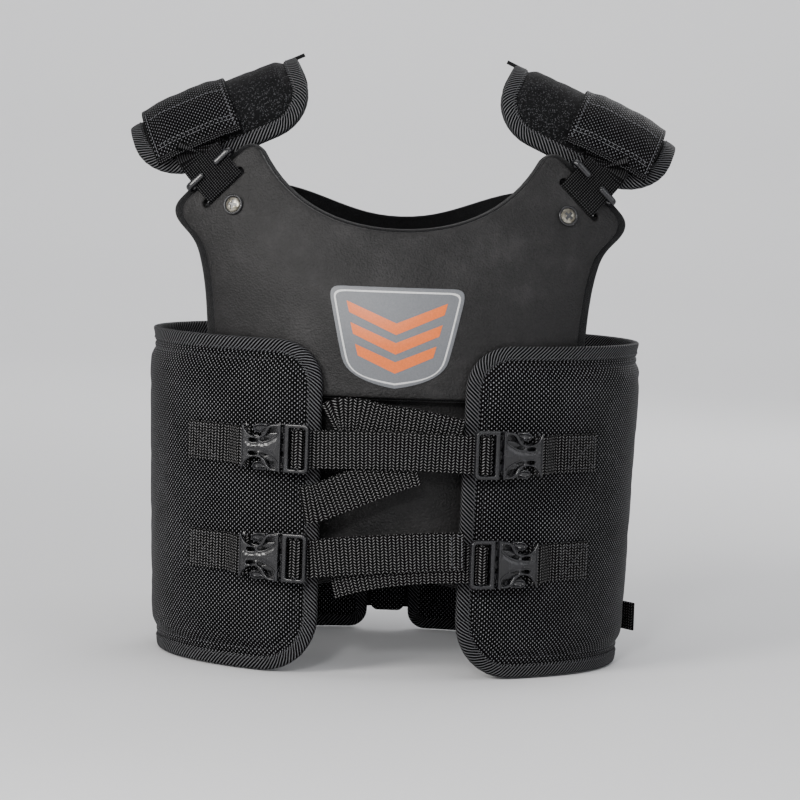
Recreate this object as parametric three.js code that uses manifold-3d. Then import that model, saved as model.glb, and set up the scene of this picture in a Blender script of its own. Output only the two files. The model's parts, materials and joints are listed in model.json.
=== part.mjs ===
// Rib and chest protector for kart racing: rigid plates on foam liners, padded side wraps closed by
// four side-release buckles, and padded shoulder straps. Millimetres, +Z up, the wearer faces -Y.
// The origin is the middle of the torso space, level with the hems of the wraps.
// "Right" is the wearer's right, which is -X.
import * as THREE from 'three';
import { mergeVertices } from 'three/addons/utils/BufferGeometryUtils.js';
import Module from 'manifold-3d';

const wasm = await Module();
wasm.setup();

// ---------------------------------------------------------------- driving dimensions
const TORSO_HALF_WIDTH = 160; // inner face of the wraps, at their top edge
const TORSO_HALF_DEPTH = 118;
const HEM_TAPER = 0.046; // how much narrower the torso is at the hems
const WRAP_HEIGHT = 220;
const WRAP_THICKNESS = 9;
const WRAP_FRONT_EDGE = 46; // half the gap between the two wraps, at the front
const WRAP_REAR_EDGE = 15;
const WRAP_TOP_CORNER = 28;
const WRAP_HEM_CORNER = 38;
const WRAP_HINGE_Y = 130; // the wraps swing about an upright axis just behind the spine band

const LEAN_START = 215; // the plates lean towards the neck above this height
const LEAN_TOP = 350;
const FRONT_LEAN = 36;
const BACK_LEAN = 30;
const SHOULDER_SPREAD = 45; // the oval widens towards the shoulders

const PLATE_GAP = 1.2; // between a plate and the wrap that lies over it
const SHELL_THICKNESS = 3;
const CHEST_FOAM = 8;
const BELLY_FOAM = 6;
const BELLY_GAP = 2.5; // lets the belly plate swing inwards under the chest plate
const TOUCH_GAP = 0.3; // between pieces that touch

const BACK_BOTTOM = 70;
const CHEST_BOTTOM = 184;
const BELLY_TOP = 198;

const STRAP_WIDTH = 25; // waist webbing and buckles
const SHOULDER_STRAP_WIDTH = 30;
const WEBBING = 1.6; // webbing thickness
const UPPER_ROW = 150; // heights of the two rows of buckles
const LOWER_ROW = 78;
const BUCKLE_TURN = THREE.MathUtils.degToRad(18.5); // a buckle's axis against X, square to the wrap hinge

const LOBE_X = 116.6; // the slot in each chest lobe
const LOBE_Z = 317;
const SLOT_TILT = THREE.MathUtils.degToRad(46);
const SLOT_LENGTH = 36;
const SLOT_WIDTH = 5;
const SCREW_X = 110.5;
const SCREW_Z = 306;
const SCREW_SHANK = 2.5;

const RIDGE_TILT = THREE.MathUtils.degToRad(25); // slope of the shoulders
const RIDGE_X = 102;
const RIDGE_Y = -12;
const RIDGE_Z = 320; // centre of the arch that the shoulder pad lies on
const ARCH_DEPTH = 46;
const ARCH_HEIGHT = 60;
const ARCH_SPAN = THREE.MathUtils.degToRad(64); // from the ridge to the pad's front and rear edges
const PAD_HALF_LENGTH = 62;
const PAD_THICKNESS = 10;
const STRAP_ALONG = 20; // the shoulder strap lies this far outwards of the pad's middle
const STRAP_LIFT = PAD_THICKNESS + 2.3;
const SLEEVE_HALF_WIDTH = 30;
const SLEEVE_LIFT = STRAP_LIFT + 1.7;
const SLEEVE_THICKNESS = 2;
const SLEEVE_ANGLES = { rear: -58, middle: 2 }; // degrees from the ridge, positive to the front
const FLAP_ANGLES = { upper: 8, lower: 62 };

// ---------------------------------------------------------------- materials
const FINISHES = {
  shell: { color: 0x3e3c3c, roughness: 0.55, metalness: 0 },
  foam: { color: 0x1b1b1d, roughness: 0.95, metalness: 0 },
  nylon: { color: 0x202226, roughness: 0.8, metalness: 0 },
  webbing: { color: 0x26272a, roughness: 0.85, metalness: 0 },
  neoprene: { color: 0x2a2a2d, roughness: 0.9, metalness: 0 },
  acetal: { color: 0x3a3a40, roughness: 0.4, metalness: 0 },
  nickel: { color: 0xc9c4b8, roughness: 0.3, metalness: 1 },
  badge: { color: 0x8a8d90, roughness: 0.5, metalness: 0 },
};

const model = new THREE.Group();

// ---------------------------------------------------------------- solids
function solidFrom(geometry) {
  const bare = geometry.clone();
  bare.deleteAttribute('normal');
  bare.deleteAttribute('uv');
  const merged = mergeVertices(bare, 1e-4);
  const mesh = new wasm.Mesh({
    numProp: 3,
    vertProperties: new Float32Array(merged.attributes.position.array),
    triVerts: new Uint32Array(merged.index.array),
  });
  return new wasm.Manifold(mesh);
}

function geometryFrom(solid) {
  const mesh = solid.getMesh();
  const geometry = new THREE.BufferGeometry();
  geometry.setAttribute('position', new THREE.BufferAttribute(new Float32Array(mesh.vertProperties), 3));
  geometry.setIndex(new THREE.BufferAttribute(new Uint32Array(mesh.triVerts), 1));
  geometry.computeVertexNormals();
  return geometry;
}

function addPart(name, solid, finish) {
  const mesh = new THREE.Mesh(geometryFrom(solid), new THREE.MeshStandardMaterial(FINISHES[finish]));
  mesh.name = name;
  model.add(mesh);
}

function placed(geometry, matrix) {
  return solidFrom(geometry.clone().applyMatrix4(matrix));
}

function extrude(shape, depth, segments = 5) {
  return new THREE.ExtrudeGeometry(shape, { depth, bevelEnabled: false, curveSegments: segments });
}

// A prism whose outline is seen from the front, as (x, z), running from y = from to y = to.
function frontPrism(shape, from, to, segments = 5) {
  const geometry = extrude(shape, to - from, segments);
  geometry.rotateX(Math.PI / 2);
  geometry.translate(0, to, 0);
  return solidFrom(geometry);
}

// A prism whose outline is seen from above, as (x, y), centred on the height z.
function planPrism(shape, z, height) {
  const geometry = extrude(shape, height);
  geometry.translate(0, 0, z - height / 2);
  return solidFrom(geometry);
}

function roundedRectangle(halfWidth, halfHeight, radius, centreX = 0, centreY = 0) {
  const shape = new THREE.Shape();
  const left = centreX - halfWidth;
  const right = centreX + halfWidth;
  const low = centreY - halfHeight;
  const high = centreY + halfHeight;
  shape.moveTo(left + radius, low);
  shape.lineTo(right - radius, low);
  shape.absarc(right - radius, low + radius, radius, -Math.PI / 2, 0, false);
  shape.lineTo(right, high - radius);
  shape.absarc(right - radius, high - radius, radius, 0, Math.PI / 2, false);
  shape.lineTo(left + radius, high);
  shape.absarc(left + radius, high - radius, radius, Math.PI / 2, Math.PI, false);
  shape.lineTo(left, low + radius);
  shape.absarc(left + radius, low + radius, radius, Math.PI, 1.5 * Math.PI, false);
  return shape;
}

function rectangle(left, low, right, high) {
  return new THREE.Shape([[left, low], [right, low], [right, high], [left, high]]
    .map(([x, y]) => new THREE.Vector2(x, y)));
}

// A closed outline of even thickness about an open path of Vector2 points.
function ribbonShape(path, thickness) {
  const leftSide = [];
  const rightSide = [];
  path.forEach((point, index) => {
    const before = path[Math.max(index - 1, 0)];
    const after = path[Math.min(index + 1, path.length - 1)];
    const entering = point.clone().sub(before);
    const leaving = after.clone().sub(point);
    const direction = entering.normalize().add(leaving.normalize()).normalize();
    const reach = index === 0 || index === path.length - 1
      ? 1
      : 1 / Math.max(direction.dot(leaving), 0.6);
    const side = new THREE.Vector2(-direction.y, direction.x).multiplyScalar((thickness / 2) * reach);
    leftSide.push(point.clone().add(side));
    rightSide.push(point.clone().sub(side));
  });
  return new THREE.Shape([...leftSide, ...rightSide.reverse()]);
}

// A strap lofted through stations, each with a centre point and the direction of its width.
function strapSolid(stations, width, thickness) {
  const corners = [];
  stations.forEach(({ point, across }, index) => {
    const before = stations[Math.max(index - 1, 0)].point;
    const after = stations[Math.min(index + 1, stations.length - 1)].point;
    const along = after.clone().sub(before).normalize();
    const face = new THREE.Vector3().crossVectors(along, across).normalize();
    const side = across.clone().normalize().multiplyScalar(width / 2);
    const lift = face.multiplyScalar(thickness / 2);
    corners.push(point.clone().sub(side).sub(lift));
    corners.push(point.clone().add(side).sub(lift));
    corners.push(point.clone().add(side).add(lift));
    corners.push(point.clone().sub(side).add(lift));
  });
  const indices = [0, 2, 1, 0, 3, 2];
  for (let station = 0; station < stations.length - 1; station += 1) {
    for (let corner = 0; corner < 4; corner += 1) {
      const near = station * 4 + corner;
      const nextNear = station * 4 + ((corner + 1) % 4);
      indices.push(near, nextNear, nextNear + 4);
      indices.push(near, nextNear + 4, near + 4);
    }
  }
  const last = (stations.length - 1) * 4;
  indices.push(last, last + 1, last + 2, last, last + 2, last + 3);
  return outwardSolid(corners, indices);
}

// A closed mesh from corner points, turned inside out if its faces point inwards.
function outwardSolid(corners, indices) {
  const geometry = new THREE.BufferGeometry().setFromPoints(corners);
  geometry.setIndex(indices);
  const solid = solidFrom(geometry);
  if (solid.volume() > 0) return solid;
  geometry.setIndex([...indices].reverse());
  return solidFrom(geometry);
}

// A closed slab between two surfaces, each a function of a pair of values on an even grid.
function slab(surface, inner, outer, acrossRange, upRange, columns, rows) {
  const corners = [];
  for (const offset of [inner, outer]) {
    for (let row = 0; row <= rows; row += 1) {
      for (let column = 0; column <= columns; column += 1) {
        const across = THREE.MathUtils.lerp(acrossRange[0], acrossRange[1], column / columns);
        const up = THREE.MathUtils.lerp(upRange[0], upRange[1], row / rows);
        corners.push(surface(across, up, offset));
      }
    }
  }
  const layer = (rows + 1) * (columns + 1);
  const at = (column, row) => row * (columns + 1) + column;
  const indices = [];
  const quad = (a, b, c, d) => indices.push(a, b, c, a, c, d);
  for (let row = 0; row < rows; row += 1) {
    for (let column = 0; column < columns; column += 1) {
      const corner = at(column, row);
      const beside = at(column + 1, row);
      const opposite = at(column + 1, row + 1);
      const above = at(column, row + 1);
      quad(corner, above, opposite, beside);
      quad(corner + layer, beside + layer, opposite + layer, above + layer);
    }
  }
  const rim = [];
  for (let column = 0; column < columns; column += 1) rim.push(at(column, 0));
  for (let row = 0; row < rows; row += 1) rim.push(at(columns, row));
  for (let column = columns; column > 0; column -= 1) rim.push(at(column, rows));
  for (let row = rows; row > 0; row -= 1) rim.push(at(0, row));
  rim.forEach((corner, index) => {
    const next = rim[(index + 1) % rim.length];
    quad(corner, next, next + layer, corner + layer);
  });
  return outwardSolid(corners, indices);
}

// ---------------------------------------------------------------- the torso's surface
function hemTaper(z) {
  return 1 - HEM_TAPER * (1 - Math.min(z, WRAP_HEIGHT) / WRAP_HEIGHT);
}

function leanAt(z) {
  return Math.max(0, (z - LEAN_START) / (LEAN_TOP - LEAN_START));
}

// A point on the oval at an angle from the front centre, positive towards +X.
function torsoPoint(angle, z, offset) {
  const lean = leanAt(z);
  const leanDepth = Math.cos(angle) > 0 ? FRONT_LEAN : BACK_LEAN;
  const halfWidth = TORSO_HALF_WIDTH * hemTaper(z) + SHOULDER_SPREAD * lean + offset;
  const halfDepth = TORSO_HALF_DEPTH * hemTaper(z) - leanDepth * lean ** 1.6 + offset;
  return new THREE.Vector3(halfWidth * Math.sin(angle), -halfDepth * Math.cos(angle), z);
}

// The point on the oval at a distance x from the middle: front is 1 for the chest, -1 for the back.
function torsoPointAt(x, z, offset, front = 1) {
  const halfWidth = torsoPoint(Math.PI / 2, z, offset).x;
  const angle = Math.asin(x / halfWidth);
  return torsoPoint(front > 0 ? angle : Math.PI - angle, z, offset);
}

// A local frame on the oval: -Y points outwards and Z up the surface, then turned by spin about the normal.
function torsoFrame(x, z, offset, front, spin) {
  const point = torsoPointAt(x, z, offset, front);
  const beside = torsoPointAt(x + 1, z, offset, front).sub(point).normalize().multiplyScalar(front);
  const above = torsoPointAt(x, z + 1, offset, front).sub(point).normalize();
  const inward = new THREE.Vector3().crossVectors(above, beside).normalize();
  const up = new THREE.Vector3().crossVectors(beside, inward).normalize();
  const frame = new THREE.Matrix4().makeBasis(beside, inward, up).setPosition(point);
  return frame.multiply(new THREE.Matrix4().makeRotationY(spin));
}

function mirroredOutline(drawRightHalf) {
  const half = new THREE.Shape();
  drawRightHalf(half);
  const right = half.getPoints(5);
  const left = right.slice(1, -1).reverse().map((point) => new THREE.Vector2(-point.x, point.y));
  return new THREE.Shape([...right, ...left]);
}

function torsoPlate(outline, inner, outer, zRange, columns, rows, front = 1) {
  const reach = 1.1;
  const centre = front > 0 ? 0 : Math.PI;
  const block = slab(torsoPoint, inner, outer, [centre - reach, centre + reach], zRange, columns, rows);
  const prism = front > 0 ? frontPrism(outline, -200, 0) : frontPrism(outline, 0, 200);
  return block.intersect(prism);
}

// ---------------------------------------------------------------- chest
function chestOutline(margin) {
  return mirroredOutline((shape) => {
    shape.moveTo(0, CHEST_BOTTOM - margin);
    shape.lineTo(116 + margin, CHEST_BOTTOM - margin);
    shape.bezierCurveTo(119 + margin, 225, 119 + margin, 250, 126 + margin, 273);
    shape.bezierCurveTo(130 + margin, 286, 138 + margin, 288, 142 + margin, 296);
    shape.quadraticCurveTo(145 + margin, 304, 139 + margin, 309.5 + margin);
    shape.lineTo(105 + margin, 341 + margin);
    shape.quadraticCurveTo(98, 348 + margin, 92 - margin, 340 + margin);
    shape.bezierCurveTo(76 - margin, 311 + margin, 45, 292 + margin, 0, 292 + margin);
  });
}

function frontLobe(side, offset) {
  return torsoFrame(side * LOBE_X, LOBE_Z, offset, 1, side * SLOT_TILT);
}

function slotCutter(side, width) {
  const shape = roundedRectangle(SLOT_LENGTH / 2, width / 2, width / 2 - 0.1);
  const geometry = extrude(shape, 60, 4);
  geometry.rotateX(Math.PI / 2);
  geometry.translate(0, 30, 0);
  return placed(geometry, frontLobe(side, 0));
}

function screwFrame(side) {
  return torsoFrame(side * SCREW_X, SCREW_Z, -PLATE_GAP, 1, 0);
}

// A round bar along the local Y axis, from one depth to another.
function barAlongY(radius, from, to, sides = 12) {
  const geometry = new THREE.CylinderGeometry(radius, radius, to - from, sides);
  geometry.translate(0, (from + to) / 2, 0);
  return geometry;
}

function chestPlate(margin, inner, outer, slotWidth) {
  let plate = torsoPlate(chestOutline(margin), inner, outer, [CHEST_BOTTOM - 5, LEAN_TOP + 5], 14, 8);
  for (const side of [-1, 1]) {
    plate = plate.subtract(slotCutter(side, slotWidth));
    plate = plate.subtract(placed(barAlongY(SCREW_SHANK + TOUCH_GAP, -20, 30), screwFrame(side)));
  }
  return plate;
}

const SHELL_INNER = -PLATE_GAP - SHELL_THICKNESS;
const FOAM_OUTER = SHELL_INNER - TOUCH_GAP;
const FOAM_INNER = FOAM_OUTER - CHEST_FOAM;
addPart('chest_shell', chestPlate(0, SHELL_INNER, -PLATE_GAP, SLOT_WIDTH), 'shell');
addPart('chest_liner', chestPlate(2, FOAM_INNER, FOAM_OUTER, SLOT_WIDTH + 3), 'foam');

function badgeSolid() {
  const outline = mirroredOutline((shape) => {
    shape.moveTo(0, 190);
    shape.quadraticCurveTo(30, 192, 34, 206);
    shape.lineTo(45, 246);
    shape.quadraticCurveTo(46, 257, 36, 257);
    shape.lineTo(0, 257);
  });
  return torsoPlate(outline, -PLATE_GAP + TOUCH_GAP, -PLATE_GAP + TOUCH_GAP + 1.2, [188, 262], 20, 6);
}
addPart('badge', badgeSolid(), 'badge');

// Pan head with a cross recess, on a plain shank. The local -Y axis points out of the chest.
const HEAD_RADIUS = 6;
const HEAD_HEIGHT = 2.6;
const RECESS = { length: 6.4, depth: 2.6, width: 1.2, turn: 0.4 };
const SHANK_END = SHELL_THICKNESS + TOUCH_GAP + CHEST_FOAM + 2.5;

function screwGeometry(shankEnd) {
  const profile = [
    new THREE.Vector2(0, -HEAD_HEIGHT - TOUCH_GAP),
    new THREE.Vector2(HEAD_RADIUS * 0.6, -HEAD_HEIGHT - TOUCH_GAP + 0.3),
    new THREE.Vector2(HEAD_RADIUS, -HEAD_HEIGHT * 0.45 - TOUCH_GAP),
    new THREE.Vector2(HEAD_RADIUS, -TOUCH_GAP),
    new THREE.Vector2(SCREW_SHANK, -TOUCH_GAP),
    new THREE.Vector2(SCREW_SHANK, shankEnd - 0.6),
    new THREE.Vector2(SCREW_SHANK - 0.6, shankEnd),
    new THREE.Vector2(0, shankEnd),
  ];
  return new THREE.LatheGeometry(profile, 12);
}

function screwSolid(frame, shankEnd) {
  let solid = placed(screwGeometry(shankEnd), frame);
  for (const turn of [RECESS.turn, RECESS.turn + Math.PI / 2]) {
    const blade = new THREE.BoxGeometry(RECESS.length, RECESS.depth, RECESS.width);
    blade.translate(0, -HEAD_HEIGHT - TOUCH_GAP, 0);
    blade.rotateY(turn);
    solid = solid.subtract(placed(blade, frame));
  }
  return solid;
}

function flangedNut(frame, seat) {
  const bore = SCREW_SHANK + TOUCH_GAP;
  const profile = [
    new THREE.Vector2(bore, seat),
    new THREE.Vector2(8, seat),
    new THREE.Vector2(8, seat + 1.2),
    new THREE.Vector2(4.5, seat + 1.2),
    new THREE.Vector2(4.5, seat + 3),
    new THREE.Vector2(bore, seat + 3),
    new THREE.Vector2(bore, seat),
  ];
  return placed(new THREE.LatheGeometry(profile, 12), frame);
}

for (const [name, side] of [['right', -1], ['left', 1]]) {
  const frame = screwFrame(side);
  addPart(`${name}_chest_screw`, screwSolid(frame, SHANK_END), 'nickel');
  addPart(`${name}_chest_nut`, flangedNut(frame, SHELL_THICKNESS + CHEST_FOAM + 1.4), 'nickel');
}

// ---------------------------------------------------------------- belly
function bellyOutline(margin) {
  return mirroredOutline((shape) => {
    shape.moveTo(0, 66 - margin);
    shape.bezierCurveTo(26, 66 - margin, 50, 56 - margin, 74, 53 - margin);
    shape.quadraticCurveTo(90 + margin, 54 - margin, 91 + margin, 72);
    shape.lineTo(98 + margin, BELLY_TOP);
    shape.lineTo(0, BELLY_TOP);
  });
}
const BELLY_OUTER = FOAM_INNER - BELLY_GAP;
const BELLY_INNER = BELLY_OUTER - SHELL_THICKNESS;
const BELLY_FOAM_OUTER = BELLY_INNER - TOUCH_GAP;
const BELLY_RANGE = [45, BELLY_TOP + 2];
addPart('belly_shell', torsoPlate(bellyOutline(0), BELLY_INNER, BELLY_OUTER, BELLY_RANGE, 16, 2), 'shell');
addPart(
  'belly_liner',
  torsoPlate(bellyOutline(2), BELLY_FOAM_OUTER - BELLY_FOAM, BELLY_FOAM_OUTER, BELLY_RANGE, 14, 2),
  'foam',
);

// ---------------------------------------------------------------- side wraps
function wrapCornerCutter(side, radius, up) {
  const edgeX = WRAP_FRONT_EDGE - 15;
  const edgeZ = up > 0 ? WRAP_HEIGHT : 0;
  const centre = new THREE.Vector2(WRAP_FRONT_EDGE + radius, edgeZ - up * radius);
  const points = [new THREE.Vector2(side * edgeX, edgeZ + up)];
  for (let step = 0; step <= 6; step += 1) {
    const angle = (step / 6) * (Math.PI / 2);
    const x = centre.x - radius * Math.sin(angle);
    const z = centre.y + up * radius * Math.cos(angle);
    points.push(new THREE.Vector2(side * x, z));
  }
  points.splice(1, 0, new THREE.Vector2(side * centre.x, edgeZ + up));
  points.push(new THREE.Vector2(side * edgeX, centre.y));
  return frontPrism(new THREE.Shape(points), -200, 0);
}

function wrapSolid(side) {
  const frontAngle = Math.asin(WRAP_FRONT_EDGE / (TORSO_HALF_WIDTH + WRAP_THICKNESS));
  const rearAngle = Math.PI - Math.asin(WRAP_REAR_EDGE / (TORSO_HALF_WIDTH + WRAP_THICKNESS));
  const angles = [side * frontAngle, side * rearAngle];
  return slab(torsoPoint, 0, WRAP_THICKNESS, angles, [0, WRAP_HEIGHT], 22, 1)
    .subtract(wrapCornerCutter(side, WRAP_TOP_CORNER, 1))
    .subtract(wrapCornerCutter(side, WRAP_HEM_CORNER, -1));
}
addPart('right_wrap', wrapSolid(-1), 'nylon');
addPart('left_wrap', wrapSolid(1), 'nylon');

// ---------------------------------------------------------------- side-release buckles
// A buckle's plan frame: u runs from its strap bar out to the wrap's side, w out of the chest, v is up.
// The w axis passes through the wrap's hinge at u = BUCKLE_MIDDLE, so the socket leaves the plug squarely.
const BUCKLE_MIDDLE = 31;
const SOCKET = { // places along u, and half heights in v
  mouth: 18,
  waist: 30,
  end: 39,
  barStart: 43.2,
  tail: 46,
  halfHeight: 15.5,
  waistHalf: 9.5,
  cavityHalf: 14.2,
};
const SOCKET_THICKNESS = 9;
const SOCKET_WALL = 1.8;
const SOCKET_BAR_LOW = 2.6; // back and front of the bar that holds the wrap's webbing
const SOCKET_BAR_HIGH = 6.4;
const PLUG_FRAME = { rim: 2.5, barStart: 6.2, barEnd: 9, webEnd: 12.5, root: 17, halfHeight: 16 };
const SLOT_HALF = 13.2; // half the height of the slots that the webbing passes through
const TONGUE_LENGTH = 17;
const TONGUE_HALF = 2.6;
const PLUG_LOW = 2.3; // back and front faces of the plug's frame
const PLUG_HIGH = 6.9;
const PRONG_LOW = 2.9;
const PRONG_HIGH = 6.1;
const PRONG_ROOT_V = 6.2; // each prong bends about the inner corner of its root

function buckle(side, z, reach) {
  const outwards = new THREE.Vector2(side * Math.sin(BUCKLE_TURN), -Math.cos(BUCKLE_TURN));
  const along = new THREE.Vector2(side * Math.cos(BUCKLE_TURN), Math.sin(BUCKLE_TURN));
  const hinge = new THREE.Vector2(0, WRAP_HINGE_Y);
  const plan = (u, w) => hinge.clone()
    .addScaledVector(outwards, reach + w)
    .addScaledVector(along, u - BUCKLE_MIDDLE);
  const origin = plan(0, 0);
  const basis = new THREE.Matrix4().makeBasis(
    new THREE.Vector3(along.x, along.y, 0),
    new THREE.Vector3(0, 0, 1),
    new THREE.Vector3(outwards.x, outwards.y, 0),
  );
  const frame = basis.setPosition(origin.x, origin.y, z);
  return { side, z, plan, frame };
}

// A plate of a buckle: an outline in (u, v) between two heights w. The frame mirrors for one side,
// so the outline is extruded first and its faces are put outwards again afterwards.
function bucklePlate(unit, shape, low, high, segments = 3) {
  const geometry = extrude(shape, high - low, segments);
  geometry.translate(0, 0, low);
  geometry.applyMatrix4(unit.frame);
  if (unit.frame.determinant() < 0) {
    const flipped = mergeVertices(geometry.deleteAttribute('normal').deleteAttribute('uv'), 1e-4);
    flipped.setIndex([...flipped.index.array].reverse());
    return solidFrom(flipped);
  }
  return solidFrom(geometry);
}

function waistedOutline() {
  const { mouth, waist, end, tail, halfHeight, waistHalf } = SOCKET;
  const shape = new THREE.Shape();
  shape.moveTo(mouth, -halfHeight);
  shape.lineTo(mouth + 2.5, -halfHeight);
  shape.quadraticCurveTo(mouth + 5, -waistHalf, waist, -waistHalf);
  shape.quadraticCurveTo(end - 3, -waistHalf, end - 1, -halfHeight);
  shape.lineTo(tail - 1.5, -halfHeight);
  shape.quadraticCurveTo(tail, -halfHeight, tail, -halfHeight + 1.5);
  shape.lineTo(tail, halfHeight - 1.5);
  shape.quadraticCurveTo(tail, halfHeight, tail - 1.5, halfHeight);
  shape.lineTo(end - 1, halfHeight);
  shape.quadraticCurveTo(end - 3, waistHalf, waist, waistHalf);
  shape.quadraticCurveTo(mouth + 5, waistHalf, mouth + 2.5, halfHeight);
  shape.lineTo(mouth, halfHeight);
  return shape;
}

function socketSolid(unit) {
  const { mouth, end, barStart, tail, cavityHalf } = SOCKET;
  const roof = SOCKET_THICKNESS - SOCKET_WALL;
  const cavity = rectangle(mouth - 1, -cavityHalf, end, cavityHalf);
  const sideWindows = rectangle(mouth + 2.8, -20, end - 2.4, 20);
  const webbingSlot = rectangle(end + 1, -SLOT_HALF, barStart, SLOT_HALF);
  const besideBar = rectangle(barStart - 0.1, -SLOT_HALF, tail + 1, SLOT_HALF);
  return bucklePlate(unit, waistedOutline(), 0, SOCKET_THICKNESS)
    .subtract(bucklePlate(unit, cavity, SOCKET_WALL, roof))
    .subtract(bucklePlate(unit, sideWindows, SOCKET_WALL, roof))
    .subtract(bucklePlate(unit, webbingSlot, -1, SOCKET_THICKNESS + 1))
    .subtract(bucklePlate(unit, besideBar, -1, SOCKET_BAR_LOW))
    .subtract(bucklePlate(unit, besideBar, SOCKET_BAR_HIGH, SOCKET_THICKNESS + 1));
}

function plugSolid(unit) {
  const { rim, barStart, barEnd, webEnd, root, halfHeight } = PLUG_FRAME;
  const outline = roundedRectangle(root / 2, halfHeight, 3, root / 2, 0);
  const nearSlot = rectangle(rim, -SLOT_HALF, barStart, SLOT_HALF);
  const farSlot = rectangle(barEnd, -SLOT_HALF, webEnd, SLOT_HALF);
  const tongue = rectangle(root - 2, -TONGUE_HALF, root + TONGUE_LENGTH, TONGUE_HALF);
  return bucklePlate(unit, outline, PLUG_LOW, PLUG_HIGH)
    .subtract(bucklePlate(unit, nearSlot, 0, SOCKET_THICKNESS))
    .subtract(bucklePlate(unit, farSlot, 0, SOCKET_THICKNESS))
    .add(bucklePlate(unit, tongue, PRONG_LOW, PRONG_HIGH));
}

// A spring prong: a narrow arm from the plug's root that swells into the pad that the fingers squeeze.
function prongSolid(unit, up) {
  const { root } = PLUG_FRAME;
  const start = root + TOUCH_GAP;
  const points = [
    [start, PRONG_ROOT_V], [start + 8, 5.4], [start + 12, 5], [start + 18, 6.4], [start + 20.2, 9.4],
    [start + 19.4, 12.6], [start + 15, 13.6], [start + 11, 12.4], [start + 7, 9.8], [start, 10],
  ];
  const shape = new THREE.Shape(points.map(([u, v]) => new THREE.Vector2(u, up * v)));
  return bucklePlate(unit, shape, PRONG_LOW, PRONG_HIGH);
}

function planRibbon(path, z, width, thickness = WEBBING) {
  return planPrism(ribbonShape(path, thickness), z, width);
}

// Webbing round the plug's bar, with its cut end tucked under the frame.
function plugWebbing(unit) {
  const { rim, barStart, barEnd, webEnd } = PLUG_FRAME;
  const intoSlot = (barEnd + webEnd) / 2;
  const outOfSlot = (rim + barStart) / 2;
  const over = PLUG_HIGH + TOUCH_GAP + WEBBING / 2;
  const under = PLUG_LOW - TOUCH_GAP - WEBBING / 2;
  const route = [[-1, under], [intoSlot - 0.6, under], [intoSlot, under + 0.8], [intoSlot, over - 0.8],
    [intoSlot - 0.6, over], [outOfSlot + 0.6, over], [outOfSlot, over - 0.8], [outOfSlot, PLUG_LOW + 1]];
  return planRibbon(route.map(([u, w]) => unit.plan(u, w)), unit.z, STRAP_WIDTH);
}

// Webbing from the socket's bar, folded back under itself and sewn to the wrap.
function wrapStub(unit, reachX) {
  const { end, barStart, tail } = SOCKET;
  const inSlot = (end + 1 + barStart) / 2;
  const offset = WRAP_THICKNESS + 0.5 + WEBBING / 2;
  const onWrap = (x, lift) => {
    const point = torsoPointAt(unit.side * x, unit.z + STRAP_WIDTH / 2, offset + lift);
    return new THREE.Vector2(point.x, point.y);
  };
  const startX = Math.abs(unit.plan(tail, 0).x) + 7;
  const outer = [];
  const inner = [];
  for (let step = 0; step <= 4; step += 1) {
    const x = THREE.MathUtils.lerp(reachX, startX, step / 4);
    outer.push(onWrap(x, WEBBING + TOUCH_GAP));
    inner.unshift(onWrap(x, 0));
  }
  const bar = [[tail + 1.2, 7.5], [barStart + 1, 7.9], [inSlot + 0.4, 7.4], [inSlot, 6], [inSlot, 1],
    [inSlot + 0.8, -0.6]].map(([u, w]) => unit.plan(u, w));
  return planRibbon([...outer, ...bar, ...inner.slice(0, 4)], unit.z, STRAP_WIDTH);
}

const ROWS = [
  { row: 'upper', z: UPPER_ROW, reach: 258, stubEnd: 134 },
  { row: 'lower', z: LOWER_ROW, reach: 256, stubEnd: 131 },
];
const SIDES = [{ name: 'right', side: -1 }, { name: 'left', side: 1 }];

for (const { row, z, reach, stubEnd } of ROWS) {
  for (const { name, side } of SIDES) {
    const unit = buckle(side, z, reach);
    const prefix = `${name}_${row}`;
    addPart(`${prefix}_socket`, socketSolid(unit), 'acetal');
    addPart(`${prefix}_plug`, plugSolid(unit), 'acetal');
    addPart(`${prefix}_top_prong`, prongSolid(unit, 1), 'acetal');
    addPart(`${prefix}_bottom_prong`, prongSolid(unit, -1), 'acetal');
    addPart(`${prefix}_plug_webbing`, plugWebbing(unit), 'webbing');
    addPart(`${prefix}_wrap_stub`, wrapStub(unit, stubEnd), 'webbing');
  }
}

// ---------------------------------------------------------------- centre straps
// Each run passes behind both plugs; its spare webbing lies behind it, a little above or below.
function centreStrap(depth, halfLength) {
  const halfPath = [[0, depth + 0.8], [20, depth], [34, depth - 1.2], [halfLength, depth - 3]];
  const rightHalf = halfPath.slice(1).reverse().map(([x, y]) => new THREE.Vector2(-x, -y));
  return [...rightHalf, ...halfPath.map(([x, y]) => new THREE.Vector2(x, -y))];
}
const STRAP_DEPTH = 126; // distance of the upper run in front of the torso's middle
const LOWER_STRAP_DEPTH = STRAP_DEPTH - 2;
const TAIL_DEPTH = STRAP_DEPTH - 3.6;
const RUN_HALF = 51; // half lengths of the runs and of the spare webbing behind them
const SPARE_HALF = 40;
const CENTRE_STRAPS = [
  { name: 'upper_strap', depth: STRAP_DEPTH, half: RUN_HALF, z: UPPER_ROW },
  { name: 'upper_strap_tail', depth: TAIL_DEPTH, half: SPARE_HALF, z: UPPER_ROW + 20 },
  { name: 'lower_strap', depth: LOWER_STRAP_DEPTH, half: RUN_HALF, z: LOWER_ROW },
  { name: 'lower_strap_tail', depth: TAIL_DEPTH - 2, half: SPARE_HALF, z: LOWER_ROW - 16 },
];
for (const { name, depth, half, z } of CENTRE_STRAPS) {
  addPart(name, planRibbon(centreStrap(depth, half), z, STRAP_WIDTH), 'webbing');
}

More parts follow.
